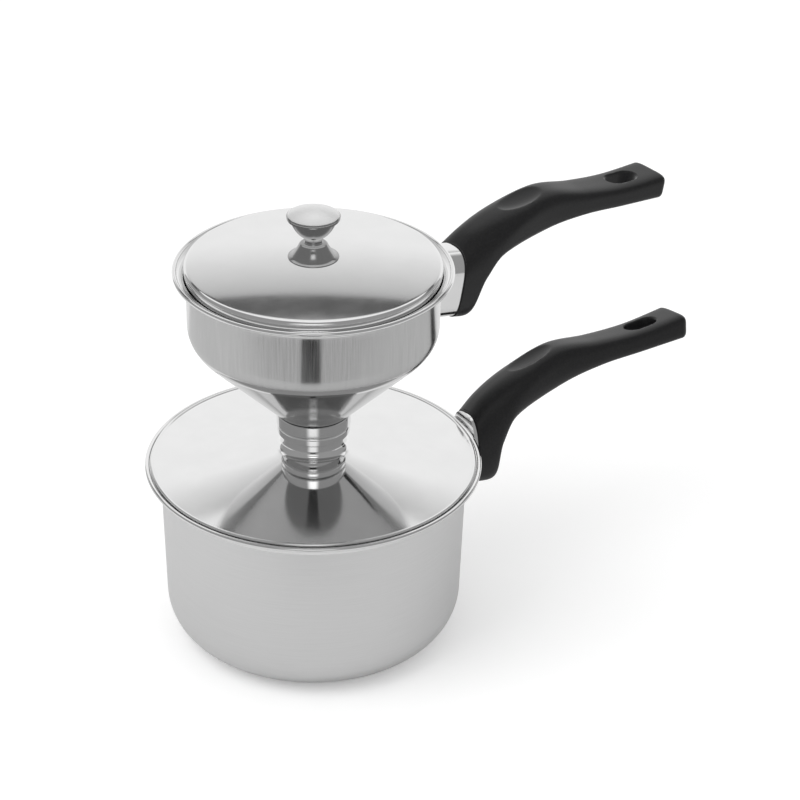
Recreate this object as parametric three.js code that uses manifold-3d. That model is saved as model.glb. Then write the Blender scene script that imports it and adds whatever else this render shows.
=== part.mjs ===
// A two-storey couscous steamer in stainless steel: a saucepan for the water, a steam cover with a neck,
// and above the neck a funnel-bottomed pan that holds the couscous on a pierced plate, under a knobbed lid.
// Both pans carry the same black bakelite handle, screwed to a welded bracket through a steel flame guard.
// Millimetres, +Z up. The origin is the middle of the pot's base, and the pot's handle points along +X.

import * as THREE from "three";
import { mergeVertices } from "three/addons/utils/BufferGeometryUtils.js";
import Module from "manifold-3d";

// Clearances, sheet and roundness
const GAP = 0.3; // between pieces that rest on each other or are fixed together
const SLIP = 0.5; // between pieces that slide or turn in each other
const PAST = 1; // how far a bore or a joined stub reaches past the face it meets
const SHEET = 0.7; // steel sheet of pot, cover, pan, lid and flame guards
const RIM_BEAD = 1.2; // radius of the rolled edge of both vessels
const ROUND = 36; // facets round the large turned pieces
const SMALL_ROUND = 20; // facets round knob, screws and bores

// Pot
const POT_RADIUS = 80.7; // outside of the wall below the rim
const POT_TAPER = 1.7; // how much narrower the wall is just above the base corner
const POT_HEIGHT = 99.2; // to the middle of the rolled rim
const POT_CORNER = 24; // radius between wall and base
const POT_FLARE = 8.1; // how far the rim stands out beyond the wall
const POT_RIM_RADIUS = POT_RADIUS + POT_FLARE;

// Steam cover
const COVER_BEAD = 0.9; // radius of its rolled edge
const COVER_PLAY = 0.55; // between its edge and the pot's rolled rim
const COVER_SLOPE = THREE.MathUtils.degToRad(7.3);
const COVER_HEIGHT = 22.4; // from the middle of its rolled edge to the top of the neck
const NECK_RADIUS = 16.4; // outside
const NECK_FLARE = 5.5; // radius of the flare from the disc into the neck
const NECK_BEAD = 2.7; // how far the neck's rolled top stands out
const NECK_BEAD_RADIUS = NECK_RADIUS + NECK_BEAD;
const NECK_BEAD_HEIGHT = 5.3;
const NECK_BEAD_ROUNDING = 1.3;

// Coupling collar
const COLLAR_WALL = 3.1; // how far it stands out beyond the neck
const COLLAR_RADIUS = NECK_RADIUS + COLLAR_WALL;
const COLLAR_HEIGHT = 6.5;
const COLLAR_LAND = 0.36; // flat ring left between its outside and the conical seat

// Pan
const PAN_RADIUS = 64.8; // outside of the wall
const PAN_FLARE = 6.9; // how far the rim stands out beyond the wall
const PAN_RIM_RADIUS = PAN_RADIUS + PAN_FLARE;
const PAN_WALL = 28.9; // from the end of the round corner to the middle of the rolled rim
const PAN_CORNER = 17.2; // radius between wall and funnel
const PAN_SEAM = THREE.MathUtils.degToRad(-34); // where wall and funnel meet on the round corner
const FUNNEL_SLOPE = THREE.MathUtils.degToRad(45);
const SPIGOT_LENGTH = 15; // how far the spigot reaches down into the neck

// Steam plate
const PLATE_INSET = 7.3; // how much narrower it is than the pan's wall
const PLATE_RADIUS = PAN_RADIUS - PLATE_INSET;
const PLATE_THICKNESS = 0.8;
const PLATE_HOLE = 5; // diameter
const PLATE_PITCH = 15; // between rings of holes
const PLATE_RINGS = 3;

// Lid
const LID_OVERHANG = 1.1; // how far its turned-down edge stands out beyond the pan's wall, in the flare
const LID_RADIUS = PAN_RADIUS + LID_OVERHANG;
const LID_DOME = 4.25; // rise from the end of the rounded edge to the middle
const LID_EDGE = 1.7; // radius of the rounded edge
const LID_SKIRT = 3.3; // turned-down edge below the dome
const LID_TUCK = 0.3; // how much narrower the skirt's lower edge is

// Knob
const KNOB_FLANGE_RADIUS = 13.1;
const KNOB_FLANGE = 1.4; // width of the flange round the foot of the bell
const KNOB_SHEET = 0.8;
const KNOB_BELL_HEIGHT = 8;
const KNOB_BELL_TOP = 7.5; // radius where the bell turns in
const KNOB_BELL_SHOULDER = 1.3; // size of the bell's rounded top edge
const KNOB_BELL_HOLLOW = 0.8; // how far the bell's side curves in
const KNOB_WAIST = 4.9; // radius of the neck ring
const KNOB_RING_HEIGHT = 2.2;
const KNOB_CUP_HEIGHT = 11.7;
const KNOB_CUP_BELLY = 10.1; // radius and height of the corner that the cup's side rounds off
const KNOB_CUP_BELLY_HEIGHT = 3.5;
const KNOB_CHAMFER = 0.6; // on the edges of cup, cap and screw head
const KNOB_CAP_RADIUS = 13.7;
const KNOB_CAP_EDGE = 1.8; // height of the crimped band
const KNOB_CAP_DOME = 3.4;
const KNOB_BOSS_COVER = 2; // metal of the cup's boss beyond the screw's tip
const KNOB_SCREW_DIAMETER = 4;
const KNOB_SCREW_BITE = 5; // into the cup's boss
const KNOB_SCREW_HEAD = 7.5;
const KNOB_SCREW_HEAD_HEIGHT = 2.4;
const KNOB_WASHER = 11;
const KNOB_WASHER_THICKNESS = 1;

// Handle, the same moulding twice. It runs out along its own +X from its root face.
const HANDLE_LENGTH = 134.1;
const HANDLE_BEND = 55; // from the root face to the top of the bend
const HANDLE_RISE = 28.4; // top of the bend above the top of the root face
const HANDLE_DIP = 0.1; // hollow in the grip's crown behind the bend
const HANDLE_END_RISE = 34.8;
const HANDLE_ROOT_HEIGHT = 38.6;
const HANDLE_ROOT_WIDTH = 28.5;
const HANDLE_WAIST_WIDTH = 24.2;
const HANDLE_END_WIDTH = 26.4;
const HANDLE_FOOT = 11.9; // thickness of the foot that runs down the flame guard
const HANDLE_GRIP = 14.6; // thickness of the grip behind the bend
const HANDLE_END_THICKNESS = 13.9;
const HANDLE_SLOT_THICKNESS = 12.6; // thinnest place, at the hanging slot
const HANDLE_ROUNDING = 3.6; // inset of the far end face all round
const HANDLE_BULGE = 2.4; // how far the far end face stands out
const ROOT_POWER = 2.7; // squareness of the rounded section at the top of the root
const FLOOR_POWER = 4; // at the bottom of the root
const END_POWER = 5; // and at the far end
const SLOT_LENGTH = 18.8;
const SLOT_WIDTH = 12;
const SLOT_FROM_END = 23.9; // middle of the hanging slot
const SCOOP_OUT = 41; // middle of the thumb scoop from the root face
const SCOOP_LENGTH = 30;
const SCOOP_WIDTH = 18;
const SCOOP_DEPTH = 2.2;

// Handle fixing
const GUARD_INSET = 0.6; // the flame guard stands back this much from the handle's root all round
const SCREW_DIAMETER = 5;
const SCREW_HEAD = 9;
const SCREW_HEAD_HEIGHT = 3.5;
const SCREW_DROP = 24; // below the top of the root face
const SCREW_SEAT = 6.5; // thickness of handle left under the washer
const SCREW_BITE = 7; // into the bracket's boss
const WASHER_DIAMETER = 10;
const WASHER_THICKNESS = 1;
const BOSS_DIAMETER = 9;
const BOSS_SETBACK = 0.6; // from the handle's root face
const BRACKET_WIDTH = 18;
const BRACKET_HEIGHT = 18;
const BRACKET_THICKNESS = 1.5;

// Where the two handles stand
const POT_HANDLE_OUT = 1.6; // root face beyond the pot's rim
const POT_HANDLE_RISE = 8; // top of the root face above the middle of the pot's rim
const POT_HANDLE_TILT = THREE.MathUtils.degToRad(-2.1);
const POT_HANDLE_ROLL = THREE.MathUtils.degToRad(-12.4); // about its own length
const PAN_HANDLE_OUT = 17.4; // root face beyond the pan's rim
const PAN_HANDLE_DROP = 10.5; // top of the root face below the middle of the pan's rim
const PAN_HANDLE_TILT = THREE.MathUtils.degToRad(-10.7);
const PAN_HANDLE_ROLL = 0;
const PAN_HANDLE_AZIMUTH = THREE.MathUtils.degToRad(9.8);

// Finishes
const MIRROR_STEEL = { color: 0xd8d9da, roughness: 0.08, metalness: 1 };
const SATIN_STEEL = { color: 0xc4c5c6, roughness: 0.35, metalness: 1 };
const BAKELITE = { color: 0x1c1c1d, roughness: 0.42, metalness: 0 };

const wasm = await Module();
wasm.setup();

// Shape helpers

const at = (r, z) => new THREE.Vector2(r, z);

// Points of a round stretch about (r, z), from one angle to another, 0 pointing away from the axis.
function arc(r, z, radius, from, to, steps) {
  return Array.from({ length: steps + 1 }, (_, i) => {
    const turn = from + ((to - from) * i) / steps;
    return at(r + radius * Math.cos(turn), z + radius * Math.sin(turn));
  });
}

// A line of points moved sideways by a distance, to its left along the line.
function offset(line, distance) {
  const last = line.length - 1;
  return line.map((point, i) => {
    const before = (i > 0 ? point.clone().sub(line[i - 1]) : line[1].clone().sub(point)).normalize();
    const after = i < last ? line[i + 1].clone().sub(point).normalize() : before;
    const along = before.clone().add(after).normalize();
    const reach = distance / along.dot(before);
    return at(point.x - along.y * reach, point.y + along.x * reach);
  });
}

// Closed section of a sheet along its middle line, rounded or rolled into a bead at its far end.
function sheet(line, thickness, bead = thickness / 2) {
  const last = line.length - 1;
  const way = line[last].clone().sub(line[last - 1]).angle();
  const reach = Math.PI - Math.asin(thickness / 2 / bead);
  const edge = arc(line[last].x, line[last].y, bead, way - reach, way + reach, bead > thickness ? 5 : 2);
  const right = offset(line, -thickness / 2).slice(0, last);
  const left = offset(line, thickness / 2).slice(0, last);
  return [...right, ...edge, ...left.reverse()];
}

// A closed geometry as a manifold solid, without doubled corners and collapsed faces.
function solid(geometry) {
  const bare = new THREE.BufferGeometry();
  bare.setAttribute("position", geometry.getAttribute("position"));
  bare.setIndex(geometry.getIndex());
  const merged = mergeVertices(bare, 1e-4);
  const corners = [];
  for (let i = 0; i < merged.index.count; i += 3) {
    const face = [0, 1, 2].map((k) => merged.index.getX(i + k));
    if (new Set(face).size === 3) corners.push(...face);
  }
  const vertProperties = merged.getAttribute("position").array;
  return new wasm.Manifold(new wasm.Mesh({ numProp: 3, vertProperties, triVerts: new Uint32Array(corners) }));
}

// Shape turned about Z from a section in (radius, height). A section on the axis starts and ends there.
function turnedShape(section, facets = ROUND) {
  const points = THREE.ShapeUtils.area(section) > 0 ? section.slice() : section.slice().reverse();
  const onAxis = (point) => point.x < 1e-6;
  if (points.filter(onAxis).length >= 2) {
    while (!onAxis(points[0]) || !onAxis(points[points.length - 1])) points.push(points.shift());
  } else {
    points.push(points[0].clone());
  }
  return new THREE.LatheGeometry(points, facets).rotateX(Math.PI / 2);
}

const turned = (section, facets) => solid(turnedShape(section, facets));

// Washer or short tube standing on Z.
const tube = (outer, inner, low, high, facets = SMALL_ROUND) =>
  turned([at(inner, low), at(outer, low), at(outer, high), at(inner, high)], facets);

// A mesh of a manifold solid under its own name.
function piece(name, made, finish) {
  const { vertProperties, triVerts } = made.getMesh();
  const geometry = new THREE.BufferGeometry();
  geometry.setAttribute("position", new THREE.BufferAttribute(vertProperties, 3));
  geometry.setIndex(new THREE.BufferAttribute(triVerts, 1));
  geometry.computeVertexNormals();
  const mesh = new THREE.Mesh(geometry, new THREE.MeshStandardMaterial(finish));
  mesh.name = name;
  return mesh;
}

// A flared rim: the middle line leaves the wall upright and ends level in the rolled edge.
function flareOf(wallRadius, rimRadius, rimHeight) {
  const r = rimRadius - RIM_BEAD;
  const radius = r - (wallRadius - SHEET / 2);
  const z = rimHeight - radius;
  return { r, z, radius, line: arc(r, z, radius, Math.PI, Math.PI / 2, 4) };
}

// Height at which a round edge of this radius rests in a flare, at a distance from the axis.
function restIn(flare, edgeRadius, r) {
  const reach = flare.radius + SHEET / 2 + GAP + edgeRadius;
  return flare.z + Math.sqrt(reach ** 2 - (flare.r - r) ** 2);
}

// The outside of a vessel's section, from its foot to where its rolled rim is widest.
function outsideOf(section) {
  const radii = section.map((p) => p.x);
  return section.slice(0, radii.indexOf(Math.max(...radii)) + 1);
}

// All the room inside a vessel's outside line, grown by a clearance, and straight up from its rim.
function room(line, clearance) {
  const grown = offset(line, -clearance).slice(0, -1);
  const rim = line[line.length - 1];
  const ceiling = rim.y + HANDLE_ROOT_HEIGHT;
  const above = [at(rim.x + clearance, rim.y), at(rim.x + clearance, ceiling), at(0, ceiling)];
  return turnedShape([at(0, grown[0].y), ...grown.filter((p) => p.x > 1e-6), ...above]);
}

// Pot

const potFlare = flareOf(POT_RADIUS, POT_RIM_RADIUS, POT_HEIGHT);
const potFoot = POT_RADIUS - POT_TAPER - SHEET / 2;
const potLine = [
  at(0, SHEET / 2),
  ...arc(potFoot - POT_CORNER + SHEET / 2, POT_CORNER, POT_CORNER - SHEET / 2, -Math.PI / 2, 0, 5),
  ...potFlare.line,
];
const potSection = sheet(potLine, SHEET, RIM_BEAD);
const potBody = turned(potSection);

// Steam cover: disc, flare, neck and rolled top, as one sheet with a solid bead

const coverEdge = potFlare.r - RIM_BEAD - COVER_PLAY - COVER_BEAD;
const coverSeat = restIn(potFlare, COVER_BEAD, coverEdge);
const neckTop = coverSeat + COVER_HEIGHT;
const neckMiddle = NECK_RADIUS - SHEET / 2;
const flareMiddle = NECK_FLARE - SHEET / 2;
const flareFoot = neckMiddle + flareMiddle;
const flareFootHeight = coverSeat + (coverEdge - flareFoot) * Math.tan(COVER_SLOPE);
const flareHeight = flareFootHeight + flareMiddle / Math.cos(COVER_SLOPE);
const coverLine = [
  at(neckMiddle, neckTop - NECK_BEAD_HEIGHT / 2),
  ...arc(flareFoot, flareHeight, flareMiddle, Math.PI, 1.5 * Math.PI - COVER_SLOPE, 4),
  at(coverEdge, coverSeat),
];
const beadFoot = neckTop - NECK_BEAD_HEIGHT;
const beadRound = NECK_BEAD_RADIUS - NECK_BEAD_ROUNDING;
const neckBead = turned([
  at(NECK_RADIUS - SHEET, neckTop),
  at(NECK_RADIUS - SHEET, beadFoot),
  ...arc(beadRound, beadFoot + NECK_BEAD_ROUNDING, NECK_BEAD_ROUNDING, -Math.PI / 2, 0, 3),
  ...arc(beadRound, neckTop - NECK_BEAD_ROUNDING, NECK_BEAD_ROUNDING, 0, Math.PI / 2, 3),
]);
const steamCover = turned(sheet(coverLine, SHEET, COVER_BEAD)).add(neckBead);

// Coupling collar with a conical seat for the funnel

const collarFoot = neckTop + GAP;
const collarTop = collarFoot + COLLAR_HEIGHT;
const spigotRadius = NECK_RADIUS - SHEET - SLIP;
const seatTop = COLLAR_RADIUS - COLLAR_LAND;
const collarBore = spigotRadius + SLIP;
const collar = turned([
  at(collarBore, collarFoot),
  at(COLLAR_RADIUS, collarFoot),
  at(COLLAR_RADIUS, collarTop),
  at(seatTop, collarTop),
  at(collarBore, collarTop - (seatTop - collarBore) * Math.tan(FUNNEL_SLOPE)),
]);

// Pan: a wall with a flared rim, a funnel joined to it on the round corner, and a spigot in the funnel

const funnelTip = collarTop - seatTop * Math.tan(FUNNEL_SLOPE) + GAP / Math.cos(FUNNEL_SLOPE);
const cornerRadius = PAN_RADIUS - PAN_CORNER;
const cornerHeight = funnelTip + cornerRadius * Math.tan(FUNNEL_SLOPE) + PAN_CORNER / Math.cos(FUNNEL_SLOPE);
const panRim = cornerHeight + PAN_WALL;
const panFlare = flareOf(PAN_RADIUS, PAN_RIM_RADIUS, panRim);
const corner = (from, to) => arc(cornerRadius, cornerHeight, PAN_CORNER - SHEET / 2, from, to, 3);
const coneAt = (r) => at(r, funnelTip + r * Math.tan(FUNNEL_SLOPE) + SHEET / 2 / Math.cos(FUNNEL_SLOPE));
const seamGap = (GAP + SHEET / 2) / (PAN_CORNER - SHEET / 2);
const funnelHole = coneAt(spigotRadius + GAP + (SHEET / 2) * Math.sin(FUNNEL_SLOPE));
const funnelLine = [funnelHole, ...corner(FUNNEL_SLOPE - Math.PI / 2, PAN_SEAM - seamGap)];
const wallLine = [...corner(PAN_SEAM, 0), ...panFlare.line];
const panSection = sheet([...funnelLine, ...wallLine], SHEET, RIM_BEAD);
const panWall = turned(sheet(wallLine, SHEET, RIM_BEAD));
const panFunnel = turned(sheet(funnelLine, SHEET));
const spigotTop = funnelHole.y + (SHEET / 2) * Math.cos(FUNNEL_SLOPE);
const panSpigot = tube(spigotRadius, spigotRadius - SHEET, neckTop - SPIGOT_LENGTH, spigotTop, ROUND);

// Steam plate, resting in the funnel

const plateFoot = funnelTip + PLATE_RADIUS * Math.tan(FUNNEL_SLOPE) + (SHEET + GAP) / Math.cos(FUNNEL_SLOPE);
const plateOutline = new THREE.Shape(arc(0, 0, PLATE_RADIUS, 0, 2 * Math.PI * (1 - 1 / ROUND), ROUND - 1));
const holeAt = (x, y) => new THREE.Path(arc(x, y, PLATE_HOLE / 2, 0, -2 * Math.PI * (5 / 6), 5));
plateOutline.holes.push(holeAt(0, 0));
for (let ring = 1; ring <= PLATE_RINGS; ring++) {
  for (let i = 0; i < 6 * ring; i++) {
    const turn = (2 * Math.PI * i) / (6 * ring);
    plateOutline.holes.push(holeAt(ring * PLATE_PITCH * Math.cos(turn), ring * PLATE_PITCH * Math.sin(turn)));
  }
}
const plateSolid = new THREE.ExtrudeGeometry(plateOutline, { depth: PLATE_THICKNESS, bevelEnabled: false });
const steamPlate = solid(plateSolid.translate(0, 0, plateFoot));

// Lid: shallow round dome with a turned-down edge, open in the middle for the knob screw

const lidMiddle = LID_RADIUS - SHEET / 2;
const lidEdge = lidMiddle - LID_TUCK;
const lidSeat = restIn(panFlare, SHEET / 2, lidEdge);
const lidShoulder = lidSeat + LID_SKIRT;
const lidTop = lidShoulder + LID_DOME + SHEET / 2;
const screwBore = KNOB_SCREW_DIAMETER / 2 + GAP;
const edgeMiddle = lidMiddle - LID_EDGE;
const domeRadius = (LID_DOME ** 2 + edgeMiddle ** 2 - LID_EDGE ** 2) / (2 * (LID_DOME - LID_EDGE));
const domeStart = Math.acos(screwBore / domeRadius);
const domeEnd = Math.acos(edgeMiddle / (domeRadius - LID_EDGE));
const domeLine = [
  ...arc(0, lidShoulder + LID_DOME - domeRadius, domeRadius, domeStart, domeEnd, 5),
  ...arc(edgeMiddle, lidShoulder, LID_EDGE, domeEnd, 0, 3).slice(1),
];
const lidShell = turned(sheet([...domeLine, at(lidEdge, lidSeat)], SHEET));

// Knob: bell, neck ring, cup, cap, and the screw and washer that hold it from under the lid

const bellFoot = lidTop + GAP;
const bellTop = bellFoot + KNOB_BELL_HEIGHT;
const bellRadius = KNOB_FLANGE_RADIUS - KNOB_FLANGE;
const halfSheet = KNOB_SHEET / 2;
const bellSide = new THREE.QuadraticBezierCurve(
  at(KNOB_BELL_TOP - halfSheet, bellTop - KNOB_BELL_SHOULDER),
  at((KNOB_BELL_TOP + bellRadius) / 2 - KNOB_BELL_HOLLOW, (bellTop + bellFoot) / 2 - KNOB_BELL_HOLLOW),
  at(bellRadius - halfSheet, bellFoot + KNOB_SHEET),
);
const bellLine = [
  at(screwBore, bellTop - halfSheet),
  at(KNOB_BELL_TOP - KNOB_BELL_SHOULDER, bellTop - halfSheet),
  ...bellSide.getPoints(2),
  at(KNOB_FLANGE_RADIUS - halfSheet, bellFoot + halfSheet),
];
const knobBell = turned(sheet(bellLine, KNOB_SHEET), SMALL_ROUND);

const ringFoot = bellTop + GAP;
const ringTop = ringFoot + KNOB_RING_HEIGHT;
const neckRing = tube(KNOB_WAIST, screwBore, ringFoot, ringTop);

const cupFoot = ringTop + GAP;
const cupTop = cupFoot + KNOB_CUP_HEIGHT;
const cupRadius = KNOB_CAP_RADIUS - KNOB_SHEET - GAP;
const bossTop = cupFoot + KNOB_SCREW_BITE + KNOB_BOSS_COVER;
const bossRadius = KNOB_WAIST - KNOB_CHAMFER;
const cupLine = new THREE.QuadraticBezierCurve(
  at(KNOB_WAIST, cupFoot + KNOB_CHAMFER),
  at(KNOB_CUP_BELLY, cupFoot + KNOB_CUP_BELLY_HEIGHT),
  at(cupRadius, cupTop),
).getPoints(5);
const knobCup = turned(
  [
    at(screwBore, cupFoot),
    at(bossRadius, cupFoot),
    ...cupLine,
    ...offset(cupLine, KNOB_SHEET).slice(2).reverse(),
    at(bossRadius, bossTop),
    at(screwBore, bossTop),
  ],
  SMALL_ROUND,
);

const capFoot = cupTop - KNOB_CAP_EDGE + KNOB_SHEET;
const capBrow = capFoot + KNOB_CAP_EDGE;
const capDome = (r, lift) => at(r, capBrow + KNOB_CAP_DOME * (1 - (r / KNOB_CAP_RADIUS) ** 2) + lift);
const knobCap = turned(
  [
    at(KNOB_CAP_RADIUS - KNOB_SHEET, capFoot),
    at(KNOB_CAP_RADIUS, capFoot),
    at(KNOB_CAP_RADIUS, capBrow - KNOB_CHAMFER),
    capDome(KNOB_CAP_RADIUS - KNOB_CHAMFER, 0),
    capDome(KNOB_CAP_RADIUS / 2, 0),
    capDome(0, 0),
    capDome(0, -KNOB_SHEET),
    capDome(KNOB_CAP_RADIUS / 2, -KNOB_SHEET),
    capDome(KNOB_CAP_RADIUS - KNOB_SHEET, -KNOB_SHEET),
  ],
  SMALL_ROUND,
);

const washerTop = lidTop - SHEET - GAP;
const washerFoot = washerTop - KNOB_WASHER_THICKNESS;
const knobWasher = tube(KNOB_WASHER / 2, screwBore, washerFoot, washerTop);
const headTop = washerFoot - GAP;
const headFoot = headTop - KNOB_SCREW_HEAD_HEIGHT;
const knobScrew = turned(
  [
    at(0, headFoot),
    at(KNOB_SCREW_HEAD / 2 - KNOB_CHAMFER, headFoot),
    at(KNOB_SCREW_HEAD / 2, headFoot + KNOB_CHAMFER),
    at(KNOB_SCREW_HEAD / 2, headTop),
    at(KNOB_SCREW_DIAMETER / 2, headTop),
    at(KNOB_SCREW_DIAMETER / 2, cupFoot + KNOB_SCREW_BITE),
    at(0, cupFoot + KNOB_SCREW_BITE),
  ],
  SMALL_ROUND,
);

// Handle moulding in its own frame: +X out from the root face, +Z up from the top of the root face

const crownLength = HANDLE_LENGTH - HANDLE_BULGE;
const gripBack = crownLength - HANDLE_BEND;
const slotRise = HANDLE_RISE + 0.25 * (HANDLE_END_RISE - HANDLE_RISE);
const crown = new THREE.SplineCurve([
  at(0, 0),
  at(0.145 * HANDLE_BEND, 0.28 * HANDLE_RISE),
  at(0.365 * HANDLE_BEND, 0.54 * HANDLE_RISE),
  at(0.635 * HANDLE_BEND, 0.76 * HANDLE_RISE),
  at(HANDLE_BEND, HANDLE_RISE),
  at(HANDLE_BEND + gripBack / 3, HANDLE_RISE - HANDLE_DIP),
  at(HANDLE_BEND + (2 * gripBack) / 3, slotRise),
  at(crownLength, HANDLE_END_RISE),
]);
const underside = new THREE.SplineCurve([
  at(0, -HANDLE_ROOT_HEIGHT),
  at(HANDLE_FOOT, 0.5 - HANDLE_ROOT_HEIGHT),
  at(HANDLE_FOOT + 3.6, -0.61 * HANDLE_ROOT_HEIGHT),
  at(HANDLE_FOOT + 0.24 * HANDLE_BEND, -0.185 * HANDLE_ROOT_HEIGHT),
  at(HANDLE_BEND, HANDLE_RISE - 1.5 * HANDLE_GRIP),
  at(HANDLE_BEND + gripBack / 3, HANDLE_RISE - HANDLE_DIP - HANDLE_GRIP),
  at(HANDLE_BEND + (2 * gripBack) / 3, slotRise - HANDLE_SLOT_THICKNESS),
  at(crownLength, HANDLE_END_RISE - HANDLE_END_THICKNESS),
]);
const halfWidth = new THREE.SplineCurve([
  at(0, HANDLE_ROOT_WIDTH / 2),
  at(1, HANDLE_ROOT_WIDTH / 2),
  at(2, HANDLE_ROOT_WIDTH / 2),
  at(3, 0.98 * HANDLE_ROOT_WIDTH / 2),
  at(4, HANDLE_WAIST_WIDTH / 2),
  at(5, HANDLE_WAIST_WIDTH / 2),
  at(6, (HANDLE_WAIST_WIDTH + HANDLE_END_WIDTH) / 4),
  at(7, HANDLE_END_WIDTH / 2),
]);

// Rounded section with this half width and half height, as sideways and upward distances.
function roundedSection(half, tall, power, floorPower, steps) {
  return Array.from({ length: steps }, (_, i) => {
    const turn = (2 * Math.PI * (i + 0.5)) / steps;
    const exponent = 2 / (Math.sin(turn) < 0 ? floorPower : power);
    const squared = (value) => Math.sign(value) * Math.abs(value) ** exponent;
    return at(half * squared(Math.cos(turn)), tall * squared(Math.sin(turn)));
  });
}

// Solid through rounded sections that run from the crown line to the underside line.
function mouldedHandle() {
  const sides = 16;
  const stations = 15;
  const positions = [];
  const addSection = (t, inset, out) => {
    const high = crown.getPoint(t);
    const low = underside.getPoint(t);
    const middle = high.clone().add(low).multiplyScalar(0.5);
    const up = high.clone().sub(low).multiplyScalar(0.5);
    const shrink = 1 - inset / up.length();
    const along = Math.max(0, (t - 0.4) / 0.6);
    const power = THREE.MathUtils.lerp(ROOT_POWER, END_POWER, along);
    const rootFloor = THREE.MathUtils.lerp(FLOOR_POWER, ROOT_POWER, Math.min(1, t / 0.2));
    const floorPower = Math.max(power, rootFloor);
    for (const p of roundedSection(halfWidth.getPoint(t).y - inset, shrink, power, floorPower, sides)) {
      positions.push(middle.x + up.x * p.y + out, p.x, middle.y + up.y * p.y);
    }
  };
  for (let i = 0; i < stations; i++) addSection(i / (stations - 1), 0, 0);
  addSection(1, HANDLE_ROUNDING, HANDLE_BULGE);
  const index = [];
  for (let i = 0; i < stations; i++) {
    for (let k = 0; k < sides; k++) {
      const a = i * sides + k;
      const b = i * sides + ((k + 1) % sides);
      index.push(a, b, a + sides, b, b + sides, a + sides);
    }
  }
  for (let k = 1; k < sides - 1; k++) {
    const end = stations * sides;
    index.push(0, k + 1, k);
    index.push(end, end + k, end + k + 1);
  }
  const geometry = new THREE.BufferGeometry();
  geometry.setAttribute("position", new THREE.Float32BufferAttribute(positions, 3));
  geometry.setIndex(index);
  return solid(geometry);
}

// Share of the crown line at which it is this far out from the root face.
function stationAt(out) {
  let [low, high] = [0, 1];
  for (let i = 0; i < 30; i++) {
    const middle = (low + high) / 2;
    if (crown.getPoint(middle).x < out) low = middle;
    else high = middle;
  }
  return low;
}

// Hanging slot through the far end, thumb scoop in the crown, and the screw's stepped bore from the foot.
function finishedHandle() {
  const slotHalf = (SLOT_LENGTH - SLOT_WIDTH) / 2;
  const slotShape = new THREE.Shape([
    ...arc(slotHalf, 0, SLOT_WIDTH / 2, -Math.PI / 2, Math.PI / 2, 6),
    ...arc(-slotHalf, 0, SLOT_WIDTH / 2, Math.PI / 2, 1.5 * Math.PI, 6),
  ]);
  const slotDepth = 2 * HANDLE_ROOT_HEIGHT;
  const slot = new THREE.ExtrudeGeometry(slotShape, { depth: slotDepth, bevelEnabled: false });
  slot.translate(HANDLE_LENGTH - SLOT_FROM_END, 0, 0);

  const scoopHeight = 3 * SCOOP_DEPTH;
  const spread = Math.sqrt(1 - ((scoopHeight - SCOOP_DEPTH) / scoopHeight) ** 2);
  const place = stationAt(SCOOP_OUT);
  const scoopPlace = crown.getPoint(place);
  const scoopSlope = crown.getTangent(place).angle();
  const scoop = new THREE.SphereGeometry(1, 16, 10).rotateX(Math.PI / 2);
  scoop.scale(SCOOP_LENGTH / 2 / spread, SCOOP_WIDTH / 2 / spread, scoopHeight);
  scoop.translate(0, 0, scoopHeight - SCOOP_DEPTH).rotateY(-scoopSlope);
  scoop.translate(scoopPlace.x, 0, scoopPlace.y);

  const bore = rod(SCREW_DIAMETER / 2 + GAP, -PAST, SCREW_SEAT + PAST);
  const counterbore = rod(WASHER_DIAMETER / 2 + GAP, SCREW_SEAT, SCREW_SEAT + 2 * HANDLE_FOOT);
  return mouldedHandle().subtract(solid(slot)).subtract(solid(scoop)).subtract(bore).subtract(counterbore);
}

// Round bar along +X on the screw's axis.
function rod(radius, from, to) {
  const bar = turnedShape([at(0, from), at(radius, from), at(radius, to), at(0, to)], SMALL_ROUND);
  return solid(bar.rotateY(Math.PI / 2).translate(0, 0, -SCREW_DROP));
}

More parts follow.
